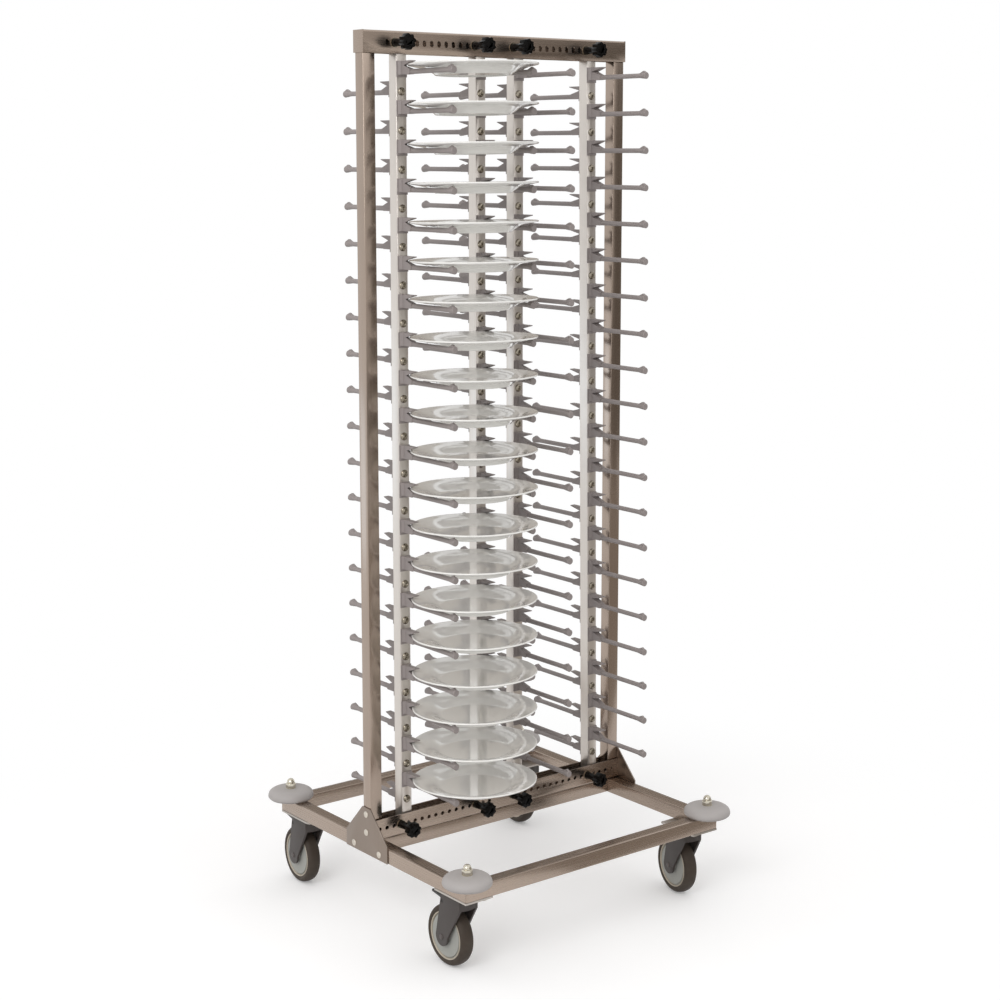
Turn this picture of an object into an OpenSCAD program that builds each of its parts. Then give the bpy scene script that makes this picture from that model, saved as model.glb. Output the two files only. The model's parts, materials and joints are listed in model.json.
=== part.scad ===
/* [Base] */
// Width of the square base over its rails, across the rack
base_w = 680; // [640:5:760]
// Depth of the base over its rails, front to back
base_d = 680; // [640:5:760]
// Side of the square rail tube
rail_size = 30; // [25:1:35]
// Wall of the rail tube
rail_wall = 2; // [1.5:0.5:3]
// Thickness of the plate that bolts a castor under the base
castor_plate_t = 4; // [3:0.5:6]

/* [Upright frame] */
// Height from the floor to the top of the upper channel
total_h = 1848; // [1500:1:2000]
// Depth of the two channels, front to back
channel_d = 34; // [32:1:40]
// Height of a channel's flanges
channel_h = 44; // [40:1:50]
// Sheet of the channels
channel_t = 2; // [1.5:0.5:2]
// Width of an upright post, across the rack
post_w = 28; // [24:1:34]
// Depth of an upright post
post_d = 27; // [22:1:28]
// Wall of a post
post_wall = 2; // [1.5:0.5:3]
// Distance between neighbouring stud holes
hole_pitch = 18; // [15:0.5:19]
// Distance from the middle of the rack to the first stud hole
hole_first_x = 32; // [26:1:36]
// Diameter of a stud hole
stud_hole_d = 8.6; // [8.4:0.1:10]
// How much taller than wide the slots of the upper channel are
slot_extra_h = 4; // [2:0.5:6]

/* [Columns] */
// Side of a square column tube
tube_size = 25; // [22:0.5:26]
// Wall of a column tube
tube_wall = 1.5; // [1:0.5:2]
// Distance between the rows of arms on one face
arm_pitch = 77; // [68:1:90]
// Length of an arm from the column's face to its end
arm_l = 176; // [140:1:190]
// Width of an arm's body
arm_w = 12; // [9:0.5:14]
// Height of the pad at the root of an arm
pad_h = 32; // [30:1:34]
// Thickness of that pad
pad_t = 2; // [1.5:0.5:3]
// Length of the upper jaw that holds the rim of a plate
jaw_l = 41; // [37:1:46]
// Depth of the arm's upper edge below the top of the jaw
arm_drop = 16.6; // [15:0.1:18]
// Diameter of an arm along its middle
arm_d = 10.4; // [9:0.1:11]
// Diameter of the flared end of an arm
arm_end_d = 14; // [12:0.5:15]

/* [Clamping knobs] */
// Diameter over the lobes of a knob
knob_d = 33; // [28:1:36]
// Thickness of a knob's head
knob_t = 16; // [12:1:20]
// Distance from the channel to the middle of a knob's head
knob_reach = 41.5; // [34:0.5:48]
// Diameter of a knob's stud
stud_d = 8; // [6:0.5:8]

/* [Castors] */
// Diameter of a wheel
wheel_d = 125; // [100:1:130]
// Width of a wheel
wheel_w = 30; // [24:1:34]
// Height of a castor below its mounting plate
castor_h = 160; // [156:1:180]
// Distance from the swivel axis back to the wheel's axle
castor_trail = 34.6; // [30:0.1:40]
// Thickness of a fork's leg
fork_leg_t = 5; // [4:0.5:6]
// Diameter of the wheel's axle
axle_d = 10; // [8:0.5:12]

/* [Bumpers] */
// Diameter of a corner bumper
bumper_d = 100; // [80:1:110]
// Height of a corner bumper
bumper_h = 22; // [18:1:26]
// Width across the flats of a cap nut
nut_flats = 19; // [17:0.5:24]

/* [Plates] */
// How far a plate's rim reaches past the middle of the arm that carries it
plate_overhang = 31; // [27:1:33]
// Height of a plate
plate_h = 23; // [21:0.5:25]
// Thickness of a plate
plate_t = 4; // [3:0.2:4]

/* [Hidden] */
$fn = 48;

// Colours of the finishes
frame_colour = [0.60, 0.55, 0.50];
tube_colour = [0.78, 0.75, 0.73];
arm_colour = [0.57, 0.54, 0.53];
black_colour = [0.07, 0.07, 0.08];
bright_colour = [0.82, 0.82, 0.83];
bumper_colour = [0.63, 0.61, 0.60];
fork_colour = [0.29, 0.27, 0.26];
tyre_colour = [0.27, 0.24, 0.21];
core_colour = [0.50, 0.50, 0.46];
china_colour = [0.93, 0.93, 0.91];

// General clearances: gap between pieces that only lie near each other, running fit, overrun of cuts
gap = 0.3;
fit = 0.05;
over = 1;

// Base, measured from the floor
rail_z = castor_h + castor_plate_t;
rail_top_z = rail_z + rail_size;
half_w = base_w / 2;
half_d = base_d / 2;
rail_mid_x = half_w - rail_size / 2;
rail_mid_y = half_d - rail_size / 2;

// Upright frame
post_mid_x = half_w - post_w / 2;
channel_floor_z = rail_top_z + channel_t;
channel_roof_z = total_h - channel_t;
flange_y = channel_d / 2;
bend_r = 4;
hole_edge = 21;
hole_low_z = rail_top_z + channel_h - hole_edge;
hole_high_z = total_h - channel_h + hole_edge;
low_hole_margin = 15;
high_hole_margin = 45;
low_hole_count = floor((half_w - hole_first_x - low_hole_margin) / hole_pitch) + 1;
high_hole_count = floor((half_w - hole_first_x - high_hole_margin) / hole_pitch) + 1;

// Gusset plates and their rivets
gusset_t = 3;
gusset_half_w = 75;
gusset_side_h = 36;
gusset_h = 100;
gusset_tip_half_w = 15;
rivet_head_d = 14;
rivet_head_h = 4;
rivet_d = 6;
rivet_grip = 6;
rivet_post_z = [hole_low_z - rivet_d, rail_z + gusset_h - rivet_head_d];
rivet_rail_y = 46;
rivet_rail_share = 0.4;
rivet_rail_z = rail_z + rail_size * rivet_rail_share;

// Which stud hole each column uses, counted outwards from the middle, and on which side
column_sides = [-1, -1, 1, 1];
column_1_from_end = 2;
column_4_from_end = 4;
column_4_lean_holes = 1;
column_high_holes = [high_hole_count - column_1_from_end, 2, 0, high_hole_count - column_4_from_end];
column_low_holes = [column_high_holes[0], 2, 0, column_high_holes[3] + column_4_lean_holes];
// The side on which each column faces its pair
pair_sides = [1, -1, 1, -1];
function stud_x(side, n) = side * (hole_first_x + n * hole_pitch);
function high_stud_x(i) = stud_x(column_sides[i], column_high_holes[i]);
function low_stud_x(i) = stud_x(column_sides[i], column_low_holes[i]);
function column_x(i) = high_stud_x(i) + hole_pitch;
function column_lean(i) = atan((low_stud_x(i) - high_stud_x(i)) / (hole_high_z - hole_low_z));

// Clamp shoes inside the channels
shoe_foot_h = 10;
shoe_chamfer = bend_r - channel_t;
shoe_half_d = flange_y - channel_t - gap;
shoe_spigot_h = 18;
shoe_boss_w = 15;
shoe_boss_reach_z = 9;
shoe_low_z = channel_floor_z + gap;
shoe_high_z = channel_roof_z - gap;
tube_low_z = shoe_low_z + shoe_foot_h + gap;
tube_high_z = shoe_high_z - shoe_foot_h - gap;

// Rows of arms
row_top_drop = 58;
row_foot_gap = 11.5;
row_top_z = total_h - row_top_drop;
rear_shift = arm_pitch / 2;
lowest_row_z = rail_top_z + channel_h + rear_shift + pad_h + row_foot_gap;
row_count = floor((row_top_z - lowest_row_z) / arm_pitch) + 1;

// Shape of an arm, as distances from the column's face and below the top of the jaw
notch_depth = 9;
notch_root_inner = 6;
notch_root_outer = 18;
notch_end = 36.5;
jaw_tip_t = 1.5;
jaw_tip_share = 1.1;
root_flare_l = 8;
root_flare_half_w = 11;
arm_axis_z = -arm_drop - arm_d / 2;
peak_rise = 4.6;
peak_w = 5;
peak_start_share = 0.86;
peak_share = 0.955;
flare_start_share = 0.88;
flare_mid_share = 0.94;
waist_share = 0.94;
pilot_l = 14;

// Screws that hold the arms
screw_d = 5;
screw_head_d = 14;
screw_head_h = 4.2;
screw_drop = 21;

// Knobs
knob_neck_d = 17;
knob_neck_end_d = 14;
knob_lobes = 8;
knob_lobe_d = 9;
washer_t = 1.6;
washer_d = 20;
stud_end_gap = 3;
stud_end_y = flange_y - channel_t - gap - stud_end_gap;

// Castors: 1 front left, 2 front right, 3 rear left, 4 rear right
castor_inset_x = 33;
castor_inset_y = 60;
castor_sides = [[-1, -1], [1, -1], [-1, 1], [1, 1]];
castor_turns = [0, 11, 4, 5];
castor_x = half_w - castor_inset_x;
castor_y = half_d - castor_inset_y;
wheel_r = wheel_d / 2;
leg_gap = 3;
leg_in_x = wheel_w / 2 + leg_gap;
leg_out_x = leg_in_x + fork_leg_t;
leg_end_r = 19;
leg_back_share = 0.8;
leg_front_share = 0.93;
axle_cap_d = 20;
axle_cap_t = 4;
crown_top_gap = 4;
crown_top_z = castor_h - crown_top_gap;
crown_h = 24;
crown_front = 26;
crown_back = 15;
boss_r = 19;
king_pin_r = 6;
king_head_r = 9;
king_head_h = 3;
tyre_in_share = 0.74;
disc_share = 0.67;
tyre_in_r = wheel_r * tyre_in_share;
disc_r = wheel_r * disc_share;
// The tyre's outline: shares of the wheel's radius and of its width
tyre_outline_shares = [[0.8, 0.49], [0.84, 0.5], [0.91, 0.47], [0.968, 0.37], [0.996, 0.2]];
tyre_bead_share = 0.44;
// The wheel core's outline, from its hub to its rim
hub_share = 1.2;
hub_foot_share = 1.3;
hub_foot_w_share = 0.4;
web_share = 0.94;
web_w_share = 0.36;
groove_w_share = 0.30;
pedal_pivot_y = 32;
pedal_pivot_drop = 17;
pedal_pivot_z = crown_top_z - pedal_pivot_drop;
pedal_pin_r = 4;
pedal_l = 48;
pedal_t = 4;
pedal_half_w = 13;
pedal_lip_h = 7;
plate_in_x = 67;
plate_in_y = 104;
bolt_d = 8;
bolt_flats = 13;
bolt_head_h = 5.2;
bolt_share = 0.75;

// Bumpers
bumper_foot_inset = 6;
bumper_low_r = bumper_d / 2 - bumper_foot_inset;
bumper_step_angle = 15;
bumper_low_angle = -60;
bumper_side_h = 9;
bumper_top_r = 17;
// Powers below 1 make the bumper's side fuller than a quarter of an ellipse
bumper_side_power = 0.7;
bumper_top_power = 0.9;
bumper_stud_r = 6;
nut_hex_h = 12;
nut_h = 22;
nut_foot_share = 0.46;
nut_dome_share = 0.44;

// Plates
pair_half = (column_x(1) - column_x(0)) / 2;
pair_mid_x = (column_x(1) + column_x(0)) / 2;
plate_r = pair_half + plate_overhang;
notch_seat = 22.2;
plate_mid_y = -tube_size / 2 - notch_seat - sqrt(plate_r * plate_r - pair_half * pair_half);
plate_foot_inset = 22;
plate_foot_r = pair_half - plate_foot_inset;
plate_foot_w = 5;
plate_well_r = pair_half - arm_w / 2;
rim_edge_share = 0.9;
rim_edge_t = plate_t * rim_edge_share;
rim_round_share = 0.3;
plate_heel_share = 0.7;
plate_floor_share = 1.5;
rim_rise = 6.6;
rim_low_z = plate_h - rim_edge_t;
plate_tilt = 1;
rim_seat_gap = 0.1;
rim_seat_z = notch_depth + rim_seat_gap;

// A square tube along Z, open at both ends
module square_tube(w, d, wall, l) {
    linear_extrude(l) difference() {
        square([w, d], center = true);
        square([w - 2 * wall, d - 2 * wall], center = true);
    }
}

// A base rail along Y with its ends cut at 45 degrees, its outer side towards -X at x = 0
module mitred_rail(l) {
    difference() {
        translate([rail_size / 2, l / 2, rail_size / 2]) rotate([90, 0, 0])
            square_tube(rail_size, rail_size, rail_wall, l);
        for (s = [-1, 1]) translate([0, s * l / 2, -over]) linear_extrude(rail_size + 2 * over)
            polygon([[0, 0], [rail_size + over, -s * (rail_size + over)], [rail_size + over, s * over],
                [0, s * over]]);
        for (s = [-1, 1]) translate([rail_size / 2, s * (l / 2 - rail_size / 2), rail_size / 2])
            cylinder(h = rail_size, r = bumper_stud_r + fit);
    }
}

module side_rail(side) {
    color(frame_colour) difference() {
        translate([side * half_w, 0, rail_z]) mirror([side > 0 ? 1 : 0, 0, 0]) mitred_rail(base_d);
        for (s = [-1, 1]) translate([side * half_w, s * rivet_rail_y, rivet_rail_z]) rotate([0, 90, 0])
            cylinder(h = 2 * rivet_grip, r = rivet_d / 2 + fit, center = true);
        bolt_holes();
    }
}

module end_rail(side) {
    color(frame_colour) difference() {
        translate([0, side * half_d, rail_z]) rotate([0, 0, side > 0 ? -90 : 90]) mitred_rail(base_w);
        bolt_holes();
    }
}

module base_cross_rail() {
    color(frame_colour) translate([-half_w + rail_size, 0, rail_z + rail_size / 2]) rotate([90, 0, 90])
        square_tube(rail_size, rail_size, rail_wall, base_w - 2 * rail_size);
}

module post(side) {
    color(frame_colour) difference() {
        translate([side * post_mid_x, 0, channel_floor_z])
            square_tube(post_w, post_d, post_wall, channel_roof_z - channel_floor_z);
        for (z = rivet_post_z) translate([side * half_w, 0, z]) rotate([0, 90, 0])
            cylinder(h = 2 * rivet_grip, r = rivet_d / 2 + fit, center = true);
    }
}

// The cross section of a channel that opens upwards, its floor on y = 0
module channel_section() {
    inner_r = bend_r - channel_t;
    difference() {
        union() {
            translate([-channel_d / 2, bend_r]) square([channel_d, channel_h - bend_r]);
            translate([-channel_d / 2 + bend_r, 0]) square([channel_d - 2 * bend_r, bend_r + over]);
            for (s = [-1, 1]) translate([s * (channel_d / 2 - bend_r), bend_r]) circle(bend_r);
        }
        translate([-channel_d / 2 + channel_t, bend_r])
            square([channel_d - 2 * channel_t, channel_h]);
        translate([-channel_d / 2 + bend_r, channel_t]) square([channel_d - 2 * bend_r, channel_h]);
        for (s = [-1, 1]) translate([s * (channel_d / 2 - bend_r), bend_r]) circle(inner_r);
    }
}

// The row of holes in a channel's front flange, taller than wide by extra
module hole_row(count, z, extra) {
    for (s = [-1, 1], n = [0 : count - 1]) translate([stud_x(s, n), -flange_y - over, z])
        rotate([-90, 0, 0]) linear_extrude(channel_t + 2 * over) {
            for (e = extra > 0 ? [-1, 1] : [0]) translate([0, e * extra / 2]) circle(d = stud_hole_d);
            if (extra > 0) square([stud_hole_d, extra], center = true);
        }
}

module bottom_channel() {
    color(frame_colour) difference() {
        translate([-half_w, 0, rail_top_z]) rotate([90, 0, 90]) linear_extrude(base_w) channel_section();
        hole_row(low_hole_count, hole_low_z, 0);
    }
}

module top_channel() {
    color(frame_colour) difference() {
        union() {
            translate([-half_w, 0, total_h]) mirror([0, 0, 1]) rotate([90, 0, 90])
                linear_extrude(base_w) channel_section();
            for (s = [-1, 1]) translate([s * (half_w + channel_t / 2), 0, total_h - channel_h / 2])
                cube([channel_t, channel_d, channel_h], center = true);
        }
        hole_row(high_hole_count, hole_high_z, slot_extra_h);
    }
}

module gusset(side) {
    color(frame_colour) difference() {
        translate([side > 0 ? half_w : -half_w - gusset_t, 0, rail_z]) rotate([90, 0, 90])
            linear_extrude(gusset_t) polygon([
                [-gusset_half_w, 0], [gusset_half_w, 0], [gusset_half_w, gusset_side_h],
                [gusset_tip_half_w, gusset_h], [-gusset_tip_half_w, gusset_h],
                [-gusset_half_w, gusset_side_h]]);
        for (p = rivet_places()) translate([side * half_w, p[0], p[1]]) rotate([0, 90, 0])
            cylinder(h = 3 * gusset_t, r = rivet_d / 2 + fit, center = true);
    }
}

function rivet_places() = concat(
    [for (z = rivet_post_z) [0, z]],
    [for (s = [-1, 1]) [s * rivet_rail_y, rivet_rail_z]]);

// A domed rivet along Z, its head's underside on z = 0
module rivet() {
    translate([0, 0, -rivet_grip]) cylinder(h = rivet_grip, d = rivet_d);
    dome(rivet_head_d, rivet_head_h);
}

// A low dome with a flat base, of a given width and height
module dome(d, h) {
    ball_r = (d * d / 4 + h * h) / (2 * h);
    intersection() {
        translate([0, 0, h - ball_r]) sphere(ball_r);
        cylinder(h = h + over, d = d + over);
    }
}

module gusset_rivets() {
    color(bright_colour) for (side = [-1, 1], p = rivet_places())
        translate([side * (half_w + gusset_t), p[0], p[1]]) rotate([0, side * 90, 0]) rivet();
}

// Places of the bolts that hold one castor plate, in the corner that the signs sx and sy name
function bolt_places(sx, sy) = [
    [sx * rail_mid_x, sy * (half_d - plate_in_y + bolt_flats)],
    [sx * rail_mid_x, sy * (rail_mid_y - rail_size * bolt_share)],
    [sx * (half_w - plate_in_x + bolt_flats), sy * rail_mid_y]];

module bolt_holes() {
    for (c = castor_sides, p = bolt_places(c[0], c[1])) translate([p[0], p[1], castor_h - over])
        cylinder(h = castor_plate_t + rail_wall + 2 * over, r = bolt_d / 2 + fit);
}

module castor_mounting_plates() {
    color(bright_colour) for (c = castor_sides) {
        difference() {
            translate([c[0] * (half_w - plate_in_x / 2), c[1] * (half_d - plate_in_y / 2), castor_h])
                linear_extrude(castor_plate_t) square([plate_in_x, plate_in_y], center = true);
            bolt_holes();
        }
        translate([c[0] * castor_x, c[1] * castor_y, 0]) {
            translate([0, 0, crown_top_z + gap]) cylinder(h = castor_h - crown_top_z, r = boss_r);
            translate([0, 0, crown_top_z - crown_h - gap - over])
                cylinder(h = crown_h + 3 * over, r = king_pin_r);
            translate([0, 0, crown_top_z - crown_h - gap - king_head_h])
                cylinder(h = king_head_h, r = king_head_r);
        }
    }
}

module castor_plate_bolts() {
    color(bright_colour) for (c = castor_sides, p = bolt_places(c[0], c[1])) translate([p[0], p[1], 0]) {
        translate([0, 0, castor_h - bolt_head_h])
            cylinder(h = bolt_head_h, d = bolt_flats / cos(30), $fn = 6);
        translate([0, 0, castor_h - over]) cylinder(h = castor_plate_t + rail_wall + 2 * over, d = bolt_d);
    }
}

// Half of a bumper's outline: a flat foot, a bulging side and a dome
function bumper_outline() = concat(
    [[bumper_stud_r + fit, 0], [bumper_low_r, 0]],
    [for (a = [bumper_low_angle : bumper_step_angle : -bumper_step_angle]) [
        bumper_d / 2 - (1 - cos(a)) * (bumper_d / 2 - bumper_low_r) * 2,
        bumper_side_h * (1 + sin(a))]],
    [for (a = [0 : bumper_step_angle : 90]) [
        bumper_top_r + pow(cos(a), bumper_side_power) * (bumper_d / 2 - bumper_top_r),
        bumper_side_h + pow(sin(a), bumper_top_power) * (bumper_h - bumper_side_h)]],
    [[bumper_stud_r + fit, bumper_h]]);

module corner_bumpers() {
    color(bumper_colour) for (c = castor_sides)
        translate([c[0] * rail_mid_x, c[1] * rail_mid_y, rail_top_z])
            rotate_extrude($fn = 64) polygon(bumper_outline());
}

module bumper_cap_nuts() {
    color(bright_colour) for (c = castor_sides)
        translate([c[0] * rail_mid_x, c[1] * rail_mid_y, rail_top_z + bumper_h]) {
            cylinder(h = nut_hex_h, d = nut_flats / cos(30), $fn = 6);
            translate([0, 0, nut_hex_h]) cylinder(h = nut_h - nut_hex_h - nut_flats / 3,
                r1 = nut_flats * nut_foot_share, r2 = nut_flats * nut_dome_share);
            translate([0, 0, nut_h - nut_flats * nut_dome_share]) sphere(nut_flats * nut_dome_share);
            translate([0, 0, -bumper_h - rail_wall])
                cylinder(h = bumper_h + rail_wall + over, r = bumper_stud_r);
        }
}

// Places its children on column i, which hangs from its upper stud and may lean
module on_column(i) {
    translate([column_x(i), 0, hole_high_z]) rotate([0, -column_lean(i), 0]) translate([0, 0, -hole_high_z])
        children();
}

// Heights of the jaw tops of the front arms and of the rear arms
function front_rows() = [for (n = [0 : row_count - 1]) row_top_z - n * arm_pitch];
function rear_rows() = [for (z = front_rows()) z - rear_shift];

module column_tube(i) {
    color(tube_colour) on_column(i) difference() {
        translate([0, 0, tube_low_z]) square_tube(tube_size, tube_size, tube_wall, tube_high_z - tube_low_z);
        for (z = concat(front_rows(), rear_rows())) translate([0, 0, z - screw_drop]) rotate([90, 0, 0])
            cylinder(h = tube_size + 2 * over, r = screw_d / 2 + fit, center = true);
    }
}

// The wedge that opens the notch: its root runs slanted from the pair's side, sign deep, to the other
module notch_wedge(deep) {
    half = arm_w / 2 + over;
    front = jaw_l + over;
    roots = [notch_root_inner, notch_root_outer];
    function roof(root) = -notch_depth + (notch_depth - jaw_tip_t) * (front - root) / (jaw_l - root);
    points = [for (n = [0, 1], p = [
        [roots[n], -notch_depth], [notch_end, -arm_drop], [front, -arm_drop], [front, roof(roots[n])]])
        [(n == 0 ? deep : -deep) * half, p[0], p[1]]];
    faces = [[0, 1, 2], [0, 2, 3], [4, 6, 5], [4, 7, 6],
        [0, 5, 1], [0, 4, 5], [1, 6, 2], [1, 5, 6], [2, 7, 3], [2, 6, 7], [3, 4, 0], [3, 7, 4]];
    polyhedron(points, deep > 0 ? [for (f = faces) [f[0], f[2], f[1]]] : faces);
}

// An arm along +Y with its pad on y = 0 and the top of its jaw on z = 0
module plate_arm(deep) {
    arm_low_z = -arm_drop - arm_d;
    difference() {
        union() {
            translate([-tube_size / 2, 0, -pad_h]) cube([tube_size, pad_t, pad_h]);
            translate([-arm_w / 2, 0, 0]) rotate([90, 0, 90]) linear_extrude(arm_w) polygon([
                [pad_t / 2, 0], [jaw_l, 0], [jaw_l, -jaw_tip_t * jaw_tip_share],
                [notch_end + over / 2, -arm_drop], [notch_end, arm_low_z + arm_d / 4],
                [notch_end - arm_d / 4, arm_low_z], [pad_t / 2, arm_low_z]]);
            translate([0, 0, arm_low_z]) linear_extrude(-arm_low_z) polygon([
                [-root_flare_half_w, pad_t / 2], [root_flare_half_w, pad_t / 2],
                [arm_w / 2 - over, root_flare_l], [over - arm_w / 2, root_flare_l]]);
            translate([0, 0, arm_axis_z]) rotate([-90, 0, 0]) rotate_extrude($fn = 24) polygon([
                [0, notch_end - arm_d], [arm_d / 2, notch_end - arm_d],
                [arm_d / 2 * waist_share, arm_l / 2], [arm_d / 2 * waist_share, arm_l * flare_start_share],
                [(arm_d + arm_end_d) / 4, arm_l * flare_mid_share], [arm_end_d / 2, arm_l - over],
                [arm_end_d / 2 - over, arm_l], [0, arm_l]]);
            translate([-peak_w / 2, 0, 0]) rotate([90, 0, 90]) linear_extrude(peak_w) polygon([
                [arm_l * peak_start_share, -arm_drop - arm_d / 4],
                [arm_l * peak_share, peak_rise - arm_drop],
                [arm_l - over, -arm_drop + over], [arm_l - over, arm_axis_z],
                [arm_l * peak_start_share, arm_axis_z]]);
        }
        notch_wedge(deep);
        translate([0, -over, -screw_drop]) rotate([-90, 0, 0])
            cylinder(h = pilot_l + over, r = screw_d / 2 + fit);
    }
}

module plate_arms(i) {
    color(arm_colour) on_column(i) {
        for (z = front_rows()) translate([0, -tube_size / 2, z]) rotate([0, 0, 180])
            plate_arm(-pair_sides[i]);
        for (z = rear_rows()) translate([0, tube_size / 2, z]) plate_arm(pair_sides[i]);
    }
}

// A screw along +Y: its head's underside on y = 0, its tip inside the arm
module arm_screw() {
    rotate([-90, 0, 0]) cylinder(h = tube_size + pilot_l - over, d = screw_d);
    rotate([90, 0, 0]) dome(screw_head_d, screw_head_h);
}

module arm_screws() {
    color(bright_colour) for (i = [0 : 3]) on_column(i) {
        for (z = front_rows()) translate([0, tube_size / 2, z - screw_drop]) rotate([0, 0, 180]) arm_screw();
        for (z = rear_rows()) translate([0, -tube_size / 2, z - screw_drop]) arm_screw();
    }
}

// A block from x1 to x2 whose long lower edges keep clear of the channel's bends
module shoe_block(x1, x2, h) {
    translate([x1, 0, 0]) rotate([90, 0, 90]) linear_extrude(x2 - x1) polygon([
        [shoe_chamfer - shoe_half_d, 0], [shoe_half_d - shoe_chamfer, 0], [shoe_half_d, shoe_chamfer],
        [shoe_half_d, h], [-shoe_half_d, h], [-shoe_half_d, shoe_chamfer]]);
}

// A shoe with its foot on z = 0: a spigot for the tube and a boss for the stud beside it
module clamp_shoe(hole_z) {
    spigot = tube_size - 2 * tube_wall - 3 * gap;
    boss_x = -hole_pitch - shoe_boss_w / 2;
    boss_end_x = -tube_size / 2 - 2 * gap;
    difference() {
        union() {
            shoe_block(boss_x, tube_size / 2, shoe_foot_h);
            shoe_block(boss_x, boss_end_x, hole_z + shoe_boss_reach_z);
            translate([-spigot / 2, -spigot / 2, 0]) cube([spigot, spigot, shoe_foot_h + shoe_spigot_h]);
        }
        translate([-hole_pitch, 0, hole_z]) rotate([90, 0, 0])
            cylinder(h = 2 * flange_y, r = stud_d / 2 + fit, center = true);
    }
}

module clamp_shoes() {
    color(black_colour) for (i = [0 : 3]) {
        translate([low_stud_x(i) + hole_pitch, 0, shoe_low_z]) clamp_shoe(hole_low_z - shoe_low_z);
        translate([high_stud_x(i) + hole_pitch, 0, shoe_high_z]) mirror([0, 0, 1])
            clamp_shoe(shoe_high_z - hole_high_z);
    }
}

module knob_washers() {
    color(bright_colour) for (i = [0 : 3], p = [[high_stud_x(i), hole_high_z], [low_stud_x(i), hole_low_z]])
        translate([p[0], -flange_y, p[1]]) rotate([90, 0, 0]) difference() {
            cylinder(h = washer_t, d = washer_d);
            translate([0, 0, -over]) cylinder(h = washer_t + 2 * over, r = stud_d / 2 + gap);
        }
}

// A knob on the stud at x and z, its head towards -Y
module knob(x, z) {
    neck_l = knob_reach - knob_t / 2 - washer_t - gap;
    lobe_ring_r = (knob_d - knob_lobe_d) / 2;
    color(black_colour) translate([x, -flange_y - washer_t - gap, z]) rotate([90, 0, 0]) {
        cylinder(h = neck_l + over, d1 = knob_neck_d, d2 = knob_neck_end_d);
        translate([0, 0, neck_l]) {
            linear_extrude(knob_t) {
                circle(lobe_ring_r);
                for (n = [0 : knob_lobes - 1]) rotate(n * 360 / knob_lobes) translate([lobe_ring_r, 0])
                    circle(d = knob_lobe_d);
            }
            translate([0, 0, knob_t - over]) cylinder(h = 2 * over, d1 = knob_neck_d, d2 = knob_neck_end_d);
        }
        translate([0, 0, -flange_y - washer_t - stud_end_y]) cylinder(
            h = flange_y + washer_t + stud_end_y + over, d = stud_d);
    }
}

// Places its children in the frame of castor i: the swivel axis on Z, the wheel towards +Y
module at_castor(i) {
    translate([castor_sides[i][0] * castor_x, castor_sides[i][1] * castor_y, 0])
        rotate([0, 0, -castor_turns[i]]) children();
}

// Places its children on the wheel's axle, with Z along it
module at_axle() {
    translate([0, castor_trail, wheel_r]) rotate([0, 90, 0]) children();
}

// Side view of a fork's leg, as points of y and z
module leg_outline() {
    difference() {
        union() {
            translate([castor_trail, wheel_r]) circle(leg_end_r);
            polygon([
                [-crown_front + over, crown_top_z - crown_h], [-crown_front + over, crown_top_z - 2 * over],
                [castor_trail + over, crown_top_z - 2 * over], [castor_trail + leg_end_r, wheel_r + over],
                [castor_trail + leg_end_r * leg_back_share, wheel_r],
                [castor_trail - leg_end_r * leg_front_share, wheel_r - over]]);
        }
        translate([castor_trail, wheel_r]) circle(axle_d / 2 + fit);
        translate([pedal_pivot_y, pedal_pivot_z]) circle(pedal_pin_r + fit);
    }
}

module castor_fork(i) {
    color(fork_colour) at_castor(i) difference() {
        union() {
            for (s = [-1, 1]) translate([s > 0 ? leg_in_x : -leg_out_x, 0, 0]) rotate([90, 0, 90])
                linear_extrude(fork_leg_t) leg_outline();
            translate([-leg_in_x - over, -crown_front + over, crown_top_z - crown_h])
                cube([2 * (leg_in_x + over), crown_front + crown_back - over, crown_h - 2 * over]);
            intersection() {
                translate([0, castor_trail - leg_end_r, crown_top_z - crown_h])
                    cylinder(h = crown_h - 2 * over, r = crown_front + castor_trail - leg_end_r + 2 * over);
                translate([-leg_out_x, -2 * crown_front, 0])
                    cube([2 * leg_out_x, 2 * crown_front, castor_h]);
            }
            translate([0, 0, crown_top_z - crown_h]) cylinder(h = crown_h, r = boss_r);
        }
        translate([0, 0, crown_top_z - crown_h - over])
            cylinder(h = crown_h + 2 * over, r = king_pin_r + fit);
    }
}

module castor_axle(i) {
    color(bright_colour) at_castor(i) at_axle() {
        cylinder(h = 2 * (leg_out_x + axle_cap_t / 2), d = axle_d, center = true);
        for (s = [0, 180]) rotate([s, 0, 0]) translate([0, 0, leg_out_x]) {
            cylinder(h = axle_cap_t / 2, d = axle_cap_d);
            translate([0, 0, axle_cap_t / 2]) dome(axle_cap_d, axle_cap_t / 2);
        }
    }
}

// Half of the wheel core's outline in radius and half width
function core_half(s) = [
    [axle_d / 2 + fit, s * (wheel_w / 2 + leg_gap / 2)],
    [axle_d * hub_share, s * (wheel_w / 2 + leg_gap / 2)],
    [axle_d * hub_foot_share, s * wheel_w * hub_foot_w_share],
    [disc_r * web_share, s * wheel_w * web_w_share], [disc_r, s * wheel_w * groove_w_share],
    [tyre_in_r - over, s * wheel_w * groove_w_share], [tyre_in_r, s * wheel_w * web_w_share]];

module wheel_core(i) {
    core = core_half(1);
    under = core_half(-1);
    color(core_colour) at_castor(i) at_axle() rotate_extrude($fn = 64)
        polygon(concat(core, [for (n = [len(under) - 1 : -1 : 0]) under[n]]));
}

// Half of the tyre's outline in radius and half width, with a rounded shoulder
function tyre_half(s) = concat(
    [[tyre_in_r, s * wheel_w * tyre_bead_share]],
    [for (p = tyre_outline_shares) [wheel_r * p[0], s * wheel_w * p[1]]],
    [[wheel_r, 0]]);

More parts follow.
